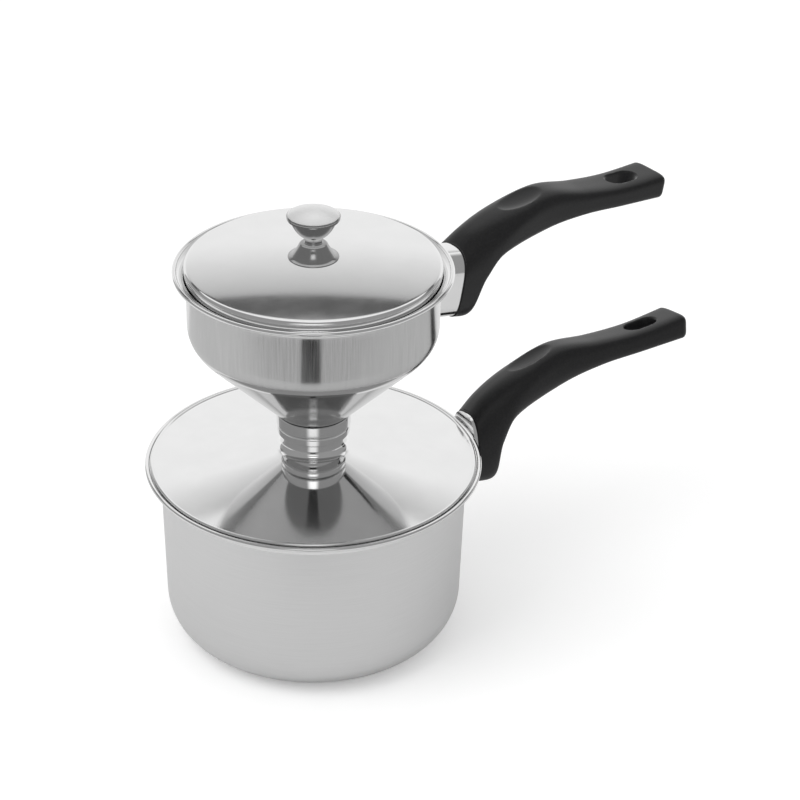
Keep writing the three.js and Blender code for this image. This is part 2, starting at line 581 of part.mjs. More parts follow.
// Handle, flame guard, bracket, screw and washer of one vessel, in a group at the handle's place.
function handleSet(name, vessel, place) {
  const group = new THREE.Group();
  group.rotation.set(place.roll, -place.tilt, place.azimuth, "ZYX");
  const out = vessel.rimRadius + place.out;
  group.position.set(out * Math.cos(place.azimuth), out * Math.sin(place.azimuth), place.height);
  group.updateMatrixWorld(true);
  const intoHandle = group.matrixWorld.clone().invert();
  const around = (clearance) => solid(room(vessel.outside, clearance).applyMatrix4(intoHandle));
  const wall = around(GAP);

  const sleeveLength = out - vessel.wallRadius + HANDLE_ROOT_HEIGHT / 2;
  const sleeve = (inset, from, to) => {
    const half = HANDLE_ROOT_WIDTH / 2 - inset;
    const tall = HANDLE_ROOT_HEIGHT / 2 - inset;
    const shape = new THREE.Shape(roundedSection(half, tall, ROOT_POWER, FLOOR_POWER, 24));
    const made = new THREE.ExtrudeGeometry(shape, { depth: to - from, bevelEnabled: false });
    made.rotateX(Math.PI / 2).rotateZ(Math.PI / 2);
    return solid(made.translate(from, 0, -HANDLE_ROOT_HEIGHT / 2));
  };
  const guardBlank = sleeve(GUARD_INSET, -sleeveLength, -GAP);
  const endPlate = guardBlank
    .intersect(around(GAP + SHEET))
    .trimByPlane([0, 0, 1], BRACKET_HEIGHT / 2 - SCREW_DROP + GAP);
  const guard = guardBlank
    .subtract(sleeve(GUARD_INSET + SHEET, -sleeveLength - PAST, PAST))
    .add(endPlate)
    .subtract(wall);

  const blank = new THREE.BoxGeometry(sleeveLength, BRACKET_WIDTH, BRACKET_HEIGHT);
  blank.translate(-sleeveLength / 2 - BOSS_SETBACK, 0, -SCREW_DROP);
  const bracket = solid(blank)
    .intersect(around(GAP + BRACKET_THICKNESS))
    .add(rod(BOSS_DIAMETER / 2, -sleeveLength, -BOSS_SETBACK))
    .subtract(wall)
    .subtract(rod(SCREW_DIAMETER / 2 + GAP, -SCREW_BITE - GAP, PAST));

  const washerEnd = SCREW_SEAT + GAP + WASHER_THICKNESS;
  const washer = rod(WASHER_DIAMETER / 2, SCREW_SEAT + GAP, washerEnd)
    .subtract(rod(SCREW_DIAMETER / 2 + GAP, 0, washerEnd + PAST));
  const screw = rod(SCREW_DIAMETER / 2, -SCREW_BITE, washerEnd + GAP + PAST)
    .add(rod(SCREW_HEAD / 2, washerEnd + GAP, washerEnd + GAP + SCREW_HEAD_HEIGHT));

  group.add(
    piece(`${name}_handle`, finishedHandle(), BAKELITE),
    piece(`${name}_flame_guard`, guard, MIRROR_STEEL),
    piece(`${name}_bracket`, bracket, SATIN_STEEL),
    piece(`${name}_handle_washer`, washer, SATIN_STEEL),
    piece(`${name}_handle_screw`, screw, SATIN_STEEL),
  );
  return group;
}

const pot = { outside: outsideOf(potSection), rimRadius: POT_RIM_RADIUS, wallRadius: POT_RADIUS };
const pan = { outside: outsideOf(panSection), rimRadius: PAN_RIM_RADIUS, wallRadius: PAN_RADIUS };

// The whole steamer

const steamer = new THREE.Group();
steamer.add(
  piece("pot_body", potBody, SATIN_STEEL),
  handleSet("pot", pot, {
    out: POT_HANDLE_OUT,
    height: POT_HEIGHT + POT_HANDLE_RISE,
    tilt: POT_HANDLE_TILT,
    roll: POT_HANDLE_ROLL,
    azimuth: 0,
  }),
  piece("steam_cover", steamCover, MIRROR_STEEL),
  piece("coupling_collar", collar, MIRROR_STEEL),
  piece("pan_body", panWall, SATIN_STEEL),
  piece("pan_funnel", panFunnel, MIRROR_STEEL),
  piece("pan_spigot", panSpigot, MIRROR_STEEL),
  handleSet("pan", pan, {
    out: PAN_HANDLE_OUT,
    height: panRim - PAN_HANDLE_DROP,
    tilt: PAN_HANDLE_TILT,
    roll: PAN_HANDLE_ROLL,
    azimuth: PAN_HANDLE_AZIMUTH,
  }),
  piece("steam_plate", steamPlate, SATIN_STEEL),
  piece("lid_shell", lidShell, MIRROR_STEEL),
  piece("knob_base", knobBell, MIRROR_STEEL),
  piece("knob_neck_ring", neckRing, MIRROR_STEEL),
  piece("knob_cup", knobCup, MIRROR_STEEL),
  piece("knob_cap", knobCap, MIRROR_STEEL),
  piece("knob_washer", knobWasher, SATIN_STEEL),
  piece("knob_screw", knobScrew, SATIN_STEEL),
);

export default steamer;
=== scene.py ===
"""Looks of a two-storey couscous steamer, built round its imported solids.

Sizes in the classes are millimetres. Meshes are made in metres, in the frame of the solids.
"""

import logging
import math
from collections.abc import Callable, Sequence
from dataclasses import dataclass
from enum import Enum
from functools import cache
from typing import Any

import bmesh
import bpy
from bmesh.types import BMesh
from bpy.types import Material, Node, NodeSocket, NodeTree, Object
from mathutils import Matrix, Vector


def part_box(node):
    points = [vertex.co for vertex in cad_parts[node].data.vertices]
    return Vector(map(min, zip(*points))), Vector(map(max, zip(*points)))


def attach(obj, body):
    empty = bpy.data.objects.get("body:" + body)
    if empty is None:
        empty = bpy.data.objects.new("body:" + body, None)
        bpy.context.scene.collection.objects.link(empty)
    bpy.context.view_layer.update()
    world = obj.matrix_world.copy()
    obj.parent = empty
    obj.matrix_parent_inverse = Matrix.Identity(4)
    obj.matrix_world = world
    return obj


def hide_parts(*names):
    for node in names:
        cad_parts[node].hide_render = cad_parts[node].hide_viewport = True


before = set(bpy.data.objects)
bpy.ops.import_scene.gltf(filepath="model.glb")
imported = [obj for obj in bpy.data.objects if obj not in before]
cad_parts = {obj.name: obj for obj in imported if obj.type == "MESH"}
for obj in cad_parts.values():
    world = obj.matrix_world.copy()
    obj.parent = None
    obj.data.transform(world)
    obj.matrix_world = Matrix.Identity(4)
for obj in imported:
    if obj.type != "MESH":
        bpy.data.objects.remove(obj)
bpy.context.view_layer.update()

LOG = logging.getLogger("steamer")
MM = 0.001
HALF_TURN = math.pi
QUARTER = math.pi / 2

SHEET = 0.7  # steel sheet of pot, cover, pan, lid and flame guards
BEAD = 1.2  # radius of the rolled rim of both vessels
GAP = 0.3  # between pieces that are fixed together
ROUND = 192  # facets round the large turned pieces
SMALL_ROUND = 96  # facets round the knob, the washers and the screws
DOUBLINGS = 4  # a turned piece is spun as one sector, which is then doubled this often
STEP = 2.5  # longest stretch of a sheet's section
MERGE = 1e-6  # corners nearer than this are one, in metres
ON_AXIS = 1e-6  # a section's point nearer to the axis than this lies on it
SHARP = math.radians(38)  # edges steeper than this are drawn sharp
BEAD_STEPS = 16  # stretches round a rolled edge
FLARE_STEPS = 14  # stretches along a flare
HALVINGS = 40  # of a stretch that is searched for a place
SHARE_STEP = 0.002  # to either side of a place where a curve's direction is read
NOISE_ENDS = (0.3, 0.7)  # grey values between which most of a noise lies
LINE_LENGTH = 40  # of an upright brushing line, in widths
LINE_CHANGES = 3.0  # of tone per radian, along a brushing line that runs round the axis
UPRIGHT_TURN = 0.25  # lays the stretch of reflections along the axis
LEVEL = (1, 1, 0)  # keeps the level part of a place

Point = tuple[float, float]
Colour = tuple[float, float, float, float]

WHITE: Colour = (1.0, 1.0, 1.0, 1.0)
BLACK: Colour = (0.0, 0.0, 0.0, 1.0)


class Body(Enum):
    """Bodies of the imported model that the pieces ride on."""

    POT = "pot"
    COVER = "cover"
    COLLAR = "collar"
    PAN = "pan"
    PLATE = "plate"
    LID = "lid"


class Slot(Enum):
    """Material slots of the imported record."""

    SATIN = "satin_steel"
    MIRROR = "mirror_steel"
    PLAIN = "plain_steel"
    BAKELITE = "bakelite"


class Brush(Enum):
    """Ways in which a steel surface is brushed."""

    CLOUDED = "wiping marks in no direction"
    UPRIGHT = "fine lines along the axis"
    ROUND = "fine lines round the axis"


# Shape helpers


def arc(centre: Point, radius: float, start: float, end: float, steps: int) -> list[Point]:
    """Points of a round stretch.

    Args:
        centre: Middle of the round.
        radius: Its radius.
        start: First angle, 0 pointing away from the axis.
        end: Last angle.
        steps: Number of stretches between the points.

    Returns:
        The points in order.
    """
    turns = [start + (end - start) * i / steps for i in range(steps + 1)]
    return [(centre[0] + radius * math.cos(a), centre[1] + radius * math.sin(a)) for a in turns]


def bend(start: Point, corner: Point, end: Point, steps: int) -> list[Point]:
    """Points of a quadratic curve that leaves and arrives towards a corner.

    Args:
        start: First point.
        corner: Point that both ends aim at.
        end: Last point.
        steps: Number of stretches.

    Returns:
        The points in order.
    """
    made = []
    for i in range(steps + 1):
        t = i / steps
        weights = ((1 - t) ** 2, 2 * t * (1 - t), t**2)
        made.append(tuple(sum(w * p[k] for w, p in zip(weights, (start, corner, end))) for k in (0, 1)))
    return made


def spline(knots: Sequence[Point], share: float) -> Vector:
    """Point of a smooth curve through all its knots.

    Args:
        knots: Points that the curve goes through.
        share: 0 at the first knot, 1 at the last, even steps between.

    Returns:
        The point as a 2D vector.
    """
    last = len(knots) - 1
    i = min(int(last * share), last - 1)
    w = last * share - i
    before, a, b, after = (Vector(knots[max(0, min(last, k))]) for k in (i - 1, i, i + 1, i + 2))
    leave, arrive = (b - before) / 2, (after - a) / 2
    return (
        (2 * w**3 - 3 * w**2 + 1) * a
        + (w**3 - 2 * w**2 + w) * leave
        + (3 * w**2 - 2 * w**3) * b
        + (w**3 - w**2) * arrive
    )


def mixed(a: float, b: float, share: float) -> float:
    """Value between a and b, with the share held between 0 and 1."""
    return a + (b - a) * max(0.0, min(1.0, share))


def offset(line: Sequence[Point], distance: float) -> list[Point]:
    """A line of points moved sideways, to its left along the line.

    Args:
        line: Points in order.
        distance: How far they move.

    Returns:
        The moved points.
    """
    points = [Vector(p) for p in line]
    moved = []
    for i, point in enumerate(points):
        before = (point - points[i - 1] if i else points[1] - point).normalized()
        after = (points[i + 1] - point).normalized() if i + 1 < len(points) else before
        along = (before + after).normalized()
        reach = distance / along.dot(before)
        moved.append((point.x - along.y * reach, point.y + along.x * reach))
    return moved


def divided(line: Sequence[Point]) -> list[Point]:
    """A line with points added along its straight stretches, so that they shade flat up to their ends.

    Args:
        line: Points in order.

    Returns:
        The points with the added ones between them.
    """
    made = [line[0]]
    for a, b in zip(line, line[1:]):
        count = math.ceil(math.dist(a, b) / STEP)
        made += [(mixed(a[0], b[0], i / count), mixed(a[1], b[1], i / count)) for i in range(1, count + 1)]
    return made


def sheet(line: Sequence[Point], thickness: float, bead: float) -> list[Point]:
    """Section of a sheet along its middle line, rolled into a bead at its far end.

    Args:
        line: Middle line in (radius, height).
        thickness: Thickness of the sheet.
        bead: Radius of the rolled end.

    Returns:
        The section's outline.
    """
    line = divided(line)
    ahead = Vector(line[-1]) - Vector(line[-2])
    way = math.atan2(ahead.y, ahead.x)
    reach = HALF_TURN - math.asin(min(1.0, thickness / 2 / bead))
    edge = arc(line[-1], bead, way - reach, way + reach, BEAD_STEPS)
    right = offset(line, -thickness / 2)[:-1]
    left = offset(line, thickness / 2)[:-1]
    return right + edge + left[::-1]


def turned(section: Sequence[Point], steps: int = ROUND) -> BMesh:
    """Closed shape spun about Z.

    Args:
        section: Outline in (radius, height). One that starts and ends on the axis isn't closed along it.
        steps: Facets round the axis.

    Returns:
        The mesh, in metres, its faces pointing outwards.
    """
    bm = bmesh.new()
    corners = [bm.verts.new((r * MM, 0.0, z * MM)) for r, z in section]
    on_axis = abs(section[0][0]) < ON_AXIS and abs(section[-1][0]) < ON_AXIS
    ends = corners[1:] if on_axis else corners[1:] + corners[:1]
    edges = [bm.edges.new(pair) for pair in zip(corners, ends)]
    sector = 2 * HALF_TURN / 2**DOUBLINGS
    about_z = {"cent": (0, 0, 0), "axis": (0, 0, 1)}
    bmesh.ops.spin(bm, geom=corners + edges, angle=sector, steps=steps // 2**DOUBLINGS, **about_z)
    for _ in range(DOUBLINGS):
        whole = bm.verts[:] + bm.edges[:] + bm.faces[:]
        bmesh.ops.spin(bm, geom=whole, angle=sector, steps=1, use_duplicate=True, **about_z)
        sector *= 2
    bmesh.ops.remove_doubles(bm, verts=bm.verts, dist=MERGE)
    bmesh.ops.recalc_face_normals(bm, faces=bm.faces)
    return bm


def lofted(rings: Sequence[Sequence[Vector]], hollow: bool) -> BMesh:
    """Closed shape through rings with the same number of points.

    Args:
        rings: Points of each ring, in millimetres.
        hollow: True joins the last ring to the first, False caps both.

    Returns:
        The mesh, in metres, its faces pointing outwards.
    """
    rows = [*rings, rings[0]] if hollow else rings
    bm = bmesh.new()
    bmesh.ops.create_grid(bm, x_segments=len(rings[0]), y_segments=len(rows) - 1, size=1.0)
    points = [point for row in rows for point in (*row, row[0])]
    for vertex, point in zip(bm.verts, points):
        vertex.co = point * MM
    bmesh.ops.remove_doubles(bm, verts=bm.verts, dist=MERGE)
    bmesh.ops.holes_fill(bm, edges=[edge for edge in bm.edges if edge.is_boundary])
    bmesh.ops.recalc_face_normals(bm, faces=bm.faces)
    return bm


def squared_ring(half: float, tall: float, power: float, floor_power: float, sides: int) -> list[Point]:
    """Rounded section as sideways and upward distances, squarer the higher its powers.

    Args:
        half: Half width.
        tall: Half height.
        power: Squareness of the upper half.
        floor_power: Squareness of the lower half.
        sides: Number of points.

    Returns:
        The points round the section.
    """
    made = []
    for k in range(sides):
        turn = 2 * HALF_TURN * (k + 0.5) / sides
        c, s = math.cos(turn), math.sin(turn)
        p = floor_power if s < 0 else power
        reach = (abs(c) ** p + abs(s) ** p) ** (-1 / p)
        made.append((half * c * reach, tall * s * reach))
    return made


def mesh_object(name: str, bm: BMesh) -> Object:
    """Makes an object of a finished mesh.

    Args:
        name: Name of the object.
        bm: Its mesh, which is freed.

    Returns:
        The object, in the scene.
    """
    mesh = bpy.data.meshes.new(name)
    bm.to_mesh(mesh)
    bm.free()
    made = bpy.data.objects.new(name, mesh)
    bpy.context.scene.collection.objects.link(made)
    return made


def cut(piece: Object, tool: Object) -> None:
    """Takes a tool's shape out of a piece for good.

    Args:
        piece: The piece, which gets a new mesh.
        tool: The tool, which is removed.
    """
    modifier = piece.modifiers.new("cut", "BOOLEAN")
    modifier.operation = "DIFFERENCE"
    modifier.solver = "EXACT"
    modifier.object = tool
    graph = bpy.context.evaluated_depsgraph_get()
    mesh = bpy.data.meshes.new_from_object(piece.evaluated_get(graph))
    piece.modifiers.clear()
    piece.data = mesh
    bpy.data.objects.remove(tool)


# Finishes


def linear(colour: str) -> Colour:
    """An sRGB hex colour as linear red, green, blue and alpha."""
    channels = [int(colour[i : i + 2], 16) / 255 for i in (1, 3, 5)]
    return (*[c / 12.92 if c <= 0.04045 else ((c + 0.055) / 1.055) ** 2.4 for c in channels], 1.0)


def add_node(tree: NodeTree, kind: str, inputs: dict[Any, Any] | None = None, **settings: Any) -> Node:
    """Adds a node with its settings, values and links.

    Args:
        tree: Node tree that it goes in.
        kind: Blender's name of the node type, without ShaderNode.
        inputs: Values or other nodes' outputs for its sockets, by name or number.
        settings: Properties of the node itself.

    Returns:
        The node.
    """
    node = tree.nodes.new("ShaderNode" + kind)
    for key, value in settings.items():
        setattr(node, key, value)
    for key, value in (inputs or {}).items():
        if isinstance(value, NodeSocket):
            tree.links.new(value, node.inputs[key])
        else:
            node.inputs[key].default_value = value
    return node


def new_material(name: str) -> tuple[Material, NodeTree, Node]:
    """Makes an empty node material.

    Args:
        name: What the material is called.

    Returns:
        The material, its node tree, and its shader, which is joined to the output.
    """
    material = bpy.data.materials.new(name)
    material.use_nodes = True
    tree = material.node_tree
    tree.nodes.clear()
    shader = add_node(tree, "BsdfPrincipled")
    add_node(tree, "OutputMaterial", {"Surface": shader.outputs[0]})
    return material, tree, shader


def lay_grain(
    tree: NodeTree,
    shader: Node,
    value: NodeSocket,
    rough: NodeSocket,
    tones: Sequence[Colour],
    ends: Point,
    relief_mm: float,
) -> None:
    """Joins a grain to a shader as its colour, roughness and relief.

    Args:
        tree: Node tree of the material.
        shader: Its shader.
        value: Grey value of the grain.
        rough: Roughness over the surface.
        tones: Colours of the grain's dark and bright end.
        ends: Grey values of those ends.
        relief_mm: Height of the grain.
    """
    ramp = add_node(tree, "ValToRGB", {"Fac": value})
    for element, end, tone in zip(ramp.color_ramp.elements, ends, tones):
        element.position = end
        element.color = tone
    relief = {"Height": value, "Strength": 1.0, "Distance": relief_mm * MM}
    bump = add_node(tree, "Bump", relief)
    tree.links.new(ramp.outputs[0], shader.inputs["Base Color"])
    tree.links.new(rough, shader.inputs["Roughness"])
    tree.links.new(bump.outputs[0], shader.inputs["Normal"])


def light_up(tree: NodeTree, shader: Node, strength: NodeSocket) -> None:
    """Makes a surface matt, with a white glow of its own.

    Args:
        tree: Node tree of the material.
        shader: Its shader.
        strength: Brightness of the glow.
    """
    shader.inputs["Specular IOR Level"].default_value = 0.0
    shader.inputs["Emission Color"].default_value = WHITE
    tree.links.new(strength, shader.inputs["Emission Strength"])


@dataclass(frozen=True)
class Steel:
    """Stainless steel under one way of polishing or brushing.

    Fields:
        name: What it is and how its surface was made.
        colour: Reflection colour, sRGB.
        roughness: Least and most roughness.
        brush: Way of brushing.
        line_mm: Width of a wiping mark or brushing line, which is drawn coarser than a real one, to show.
        shade: Darkest tone of a line as a share of the colour.
        relief_mm: Height of the lines.
        stretch: How much longer reflections are along the axis, 0 to 1.
        girth_mm: Radius of the wall that upright lines are laid out on.
        core_mm: Radius about the axis inside which the roughness differs, 0 for none.
        core_roughness: Roughness there.
        core_fade: Share of that radius from which it changes to the rest.
    """

    name: str
    colour: str
    roughness: tuple[float, float]
    brush: Brush = Brush.CLOUDED
    line_mm: float = 14.0
    shade: float = 0.97
    relief_mm: float = 0.001
    stretch: float = 0.0
    girth_mm: float = 65.0
    core_mm: float = 0.0
    core_roughness: float = 0.045
    core_fade: float = 0.55

    def pattern(self, tree: NodeTree) -> NodeSocket:
        """Grey value of the lines or marks.

        Args:
            tree: Node tree of the material.

        Returns:
            The socket with the value, mostly between NOISE_ENDS.
        """
        place = add_node(tree, "TexCoord").outputs["Object"]
        if self.brush is Brush.CLOUDED:
            marks = {"Vector": place, "Scale": 1 / (self.line_mm * MM), "Detail": 3.0}
            return add_node(tree, "TexNoise", marks).outputs[0]
        flat = add_node(tree, "VectorMath", {0: place, 1: LEVEL}, operation="MULTIPLY").outputs[0]
        away = add_node(tree, "VectorMath", {0: flat}, operation="NORMALIZE").outputs[0]
        height = add_node(tree, "SeparateXYZ", {0: place}).outputs["Z"]
        if self.brush is Brush.UPRIGHT:
            across, along = self.girth_mm / self.line_mm, 1 / (LINE_LENGTH * self.line_mm * MM)
        else:
            radius = add_node(tree, "VectorMath", {0: flat}, operation="LENGTH").outputs["Value"]
            height = add_node(tree, "Math", {0: radius, 1: height}, operation="ADD").outputs[0]
            across, along = LINE_CHANGES, 1 / (self.line_mm * MM)
        spread = {0: away, "Scale": across}
        turn = add_node(tree, "VectorMath", spread, operation="SCALE").outputs[0]
        climb = add_node(tree, "Math", {0: height, 1: along}, operation="MULTIPLY").outputs[0]
        rise = add_node(tree, "CombineXYZ", {"Z": climb}).outputs[0]
        run = add_node(tree, "VectorMath", {0: turn, 1: rise}, operation="ADD").outputs[0]
        return add_node(tree, "TexNoise", {"Vector": run, "Scale": 1.0, "Detail": 2.0}).outputs[0]

    def with_core(self, tree: NodeTree, rough: NodeSocket) -> NodeSocket:
        """Roughness that differs about the axis.

        Args:
            tree: Node tree of the material.
            rough: Roughness of the rest of the surface.

        Returns:
            The socket with the roughness.
        """
        place = add_node(tree, "TexCoord").outputs["Object"]
        flat = add_node(tree, "VectorMath", {0: place, 1: LEVEL}, operation="MULTIPLY").outputs[0]
        radius = add_node(tree, "VectorMath", {0: flat}, operation="LENGTH").outputs["Value"]
        fade = {"Value": radius, "To Min": self.core_roughness, "To Max": rough}
        fade |= {"From Min": self.core_fade * self.core_mm * MM, "From Max": self.core_mm * MM}
        return add_node(tree, "MapRange", fade, interpolation_type="SMOOTHSTEP").outputs[0]

    def material(self) -> Material:
        """The finish as a material, made once.

        Returns:
            The material.
        """
        if self.name in bpy.data.materials:
            return bpy.data.materials[self.name]
        material, tree, shader = new_material(self.name)
        value = self.pattern(tree)
        low, high = self.roughness
        spread = {"Value": value, "From Min": NOISE_ENDS[0], "From Max": NOISE_ENDS[1]}
        spread |= {"To Min": low, "To Max": high}
        rough = add_node(tree, "MapRange", spread).outputs[0]
        if self.core_mm:
            rough = self.with_core(tree, rough)
        bright = linear(self.colour)
        dark = (*[c * self.shade for c in bright[:3]], 1.0)
        shader.inputs["Metallic"].default_value = 1.0
        lay_grain(tree, shader, value, rough, (dark, bright), NOISE_ENDS, self.relief_mm)
        if self.stretch:
            tangent = add_node(tree, "Tangent", direction_type="RADIAL", axis="Z")
            shader.inputs["Anisotropic"].default_value = self.stretch
            shader.inputs["Anisotropic Rotation"].default_value = UPRIGHT_TURN
            tree.links.new(tangent.outputs[0], shader.inputs["Tangent"])
        return material


@dataclass(frozen=True)
class Bakelite:
    """Phenolic moulding, near-black, with a fine mottled grain and a satin sheen."""

    name: str = "bakelite_moulded_black"
    colour: str = "#121213"
    fleck: str = "#1d1d1e"
    fleck_ends: tuple[float, float] = (0.4, 0.75)  # grey values where flecks start and are whole
    grain_mm: float = 0.9
    relief_mm: float = 0.05
    roughness: tuple[float, float] = (0.34, 0.46)
    gloss: float = 0.35

    def material(self) -> Material:
        """The finish as a material, made once.

        Returns:
            The material.
        """
        if self.name in bpy.data.materials:
            return bpy.data.materials[self.name]
        material, tree, shader = new_material(self.name)
        place = add_node(tree, "TexCoord").outputs["Object"]
        grain = {"Vector": place, "Scale": 1 / (self.grain_mm * MM), "Detail": 3.0}
        value = add_node(tree, "TexNoise", grain).outputs[0]
        low, high = self.roughness
        rough = add_node(tree, "MapRange", {"Value": value, "To Min": low, "To Max": high}).outputs[0]
        shader.inputs["Specular IOR Level"].default_value = self.gloss
        tones = (linear(self.colour), linear(self.fleck))
        lay_grain(tree, shader, value, rough, tones, self.fleck_ends, self.relief_mm)
        return material


# Buffed to a mirror: clear reflections, with a faint haze of wiping marks
MIRROR = Steel("stainless_steel_mirror_polished", "#e8e8e8", (0.06, 0.1), relief_mm=0.003)
# Buffed on a soft wheel: reflections with a slight blur
BUFFED = Steel("stainless_steel_buffed", "#e6e6e6", (0.07, 0.1))
# Polished by hand: clear about the neck, softer towards the edge
POLISHED = Steel("stainless_steel_hand_polished", "#e8e8e8", (0.1, 0.13), relief_mm=0.003, core_mm=86.0)
# Blasted and lightly brushed: a soft pale glow without clear reflections
SATIN = Steel(
    "stainless_steel_satin", "#e0e0e0", (0.36, 0.44), Brush.ROUND, line_mm=0.7, shade=0.96, relief_mm=0.002
)
# Brushed on a lathe: reflections are drawn out along the axis into fine upright lines
BRUSHED = Steel(
    "stainless_steel_brushed",
    "#c8c8c8",
    (0.16, 0.21),
    Brush.UPRIGHT,
    line_mm=0.55,
    shade=0.84,
    relief_mm=0.0008,
    stretch=0.95,
)
# Funnel: steel greyed as painted shade, for the dark that it mirrors under the pan; its reflections still
# clear
FUNNEL_SHADED = Steel("stainless_steel_funnel_painted_shade", "#b0b0b0", (0.08, 0.12), relief_mm=0.002)
# Foot and cup of the knob: steel with a soft gloss, darkened as painted shade for the dark room that their
# sides mirror
KNOB_SHADED = Steel("knob_steel_painted_shade", "#a4a4a4", (0.16, 0.2), line_mm=9.0)
# Top of the knob: buffed to a pale, even sheen
GLOSSED = Steel("stainless_steel_soft_gloss", "#f0f0f0", (0.42, 0.5), line_mm=9.0)
# Inside of the vessels: polished in circles, which blur reflections a little
CIRCLED = Steel(
    "stainless_steel_circle_polished",
    "#dedede",
    (0.22, 0.28),
    Brush.ROUND,
    line_mm=0.6,
    shade=0.95,
    relief_mm=0.0005,
)
# Mill finish of brackets, plate, screws and washers: dull grey with fine marks
MILL = Steel("steel_mill_finish", "#c2c2c2", (0.32, 0.46), line_mm=1.2, shade=0.86, relief_mm=0.004)
# Moulded handles: black with a satin sheen and a fine grain
BAKELITE = Bakelite()

Finish = Steel | Bakelite


def dress(
    piece: Object,
    finishes: Sequence[Finish],
    body: Body,
    slot: Slot,
    nodes: Sequence[str],
    zone: Callable[[Vector, Vector], int] | None = None,
) -> Object:
    """Gives a piece its finishes, shading and body, and hides the solids that it stands for.

    Args:
        piece: The finished mesh object.
        finishes: Its finishes, the main one first.
        body: Body that it rides on.
        slot: Slot that it takes its finish from; not used.
        nodes: Solids that it stands for.
        zone: Number of the finish for a face, from the face's middle in millimetres and its normal.

    Returns:
        The piece.
    """
    mesh = piece.data
    mesh.materials.clear()
    for finish in finishes:
        mesh.materials.append(finish.material())
    for face in mesh.polygons:
        face.material_index = zone(face.center / MM, face.normal) if zone else 0
    mesh.shade_smooth()
    mesh.set_sharp_from_angle(angle=SHARP)
    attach(piece, body.value)
    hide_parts(*nodes)
    LOG.info("%s rides on %s, %d faces", piece.name, body.value, len(mesh.polygons))
    return piece


@cache
def foot_of(node: str) -> float:
    """Lowest height of a solid, in millimetres."""
    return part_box(node)[0].z / MM


@cache
def top_of(node: str) -> float:
    """Highest height of a solid, in millimetres."""
    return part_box(node)[1].z / MM


def points_out(middle: Vector, normal: Vector) -> bool:
    """Whether a face of a turned piece looks away from the axis."""
    return normal.dot(Vector((middle.x, middle.y, 0)).normalized()) > 0


# Fasteners


def ring_section(outer: float, inner: float, low: float, high: float, round_off: float = 0.15) -> list[Point]:
    """Outline of a washer with broken edges.

    Args:
        outer: Outside radius.
        inner: Radius of the bore.
        low: Height of the lower face.
        high: Height of the upper face.
        round_off: Size of the broken edges.

    Returns:
        The points in (radius, height).
    """
    return [
        (inner, low),
        (outer - round_off, low),
        (outer, low + round_off),
        (outer, high - round_off),
        (outer - round_off, high),
        (inner, high),
    ]


@dataclass
class Screw:
    """Cheese-head screw with a driver slot, its head at the low end."""

    shank: float
    head: float
    head_height: float
    length: float
    slot_width: float = 1.2
    slot_depth: float = 1.0
    chamfer: float = 0.5

    def build(self, name: str, place: Matrix, body: Body, node: str) -> Object:
        """Makes the screw at a place.

        Args:
            name: Name of the piece.
            place: Where the middle of its head's face goes, with the shank along Z.
            body: Body that it rides on.
            node: Solid that it stands for.

        Returns:
            The piece.
        """
        section = [
            (0, 0),
            (self.head - self.chamfer, 0),
            (self.head, self.chamfer),
            (self.head, self.head_height),
            (self.shank, self.head_height),
            (self.shank, self.length - self.chamfer),
            (self.shank - self.chamfer, self.length),
            (0, self.length),
        ]
        screw = mesh_object(name, turned(section, SMALL_ROUND))
        # The slot's tool is centred on the head's face, so half of its height cuts
        bm = bmesh.new()
        bmesh.ops.create_cube(bm, size=1.0)
        size = (4 * self.head * MM, self.slot_width * MM, 2 * self.slot_depth * MM)
        bmesh.ops.scale(bm, verts=bm.verts, vec=size)
        cut(screw, mesh_object("slot_tool", bm))
        screw.data.transform(place)
        return dress(screw, [MILL], body, Slot.PLAIN, [node])


# Pot and cover


@dataclass(frozen=True)
class Rim:
    """Flared rim of a vessel, ending level in a rolled edge."""

    wall: float
    radius: float
    height: float

    @property
    def curve(self) -> float:
        """Radius of the flare's middle line."""
        return self.radius - BEAD - self.wall + SHEET / 2

    @property
    def centre(self) -> Point:
        """Middle of the flare's round."""
        return (self.radius - BEAD, self.height - self.curve)

    def line(self) -> list[Point]:
        """Middle line of the flare, from the wall to the rolled edge."""
        return arc(self.centre, self.curve, HALF_TURN, QUARTER, FLARE_STEPS)

    def outside(self, z: float) -> float:
        """Outside of flare and rolled edge at a height, straight up above it.

        Args:
            z: The height.

        Returns:
            The radius.
        """
        if z >= self.height:
            return self.radius
        r, middle = self.centre
        inner = self.curve - SHEET / 2
        rise, drop = max(0.0, z - middle), self.height - z
        flare = r - math.sqrt(max(0.0, inner**2 - rise**2))
        bead = r + math.sqrt(BEAD**2 - drop**2) if drop < BEAD else 0.0
        return max(flare, bead)


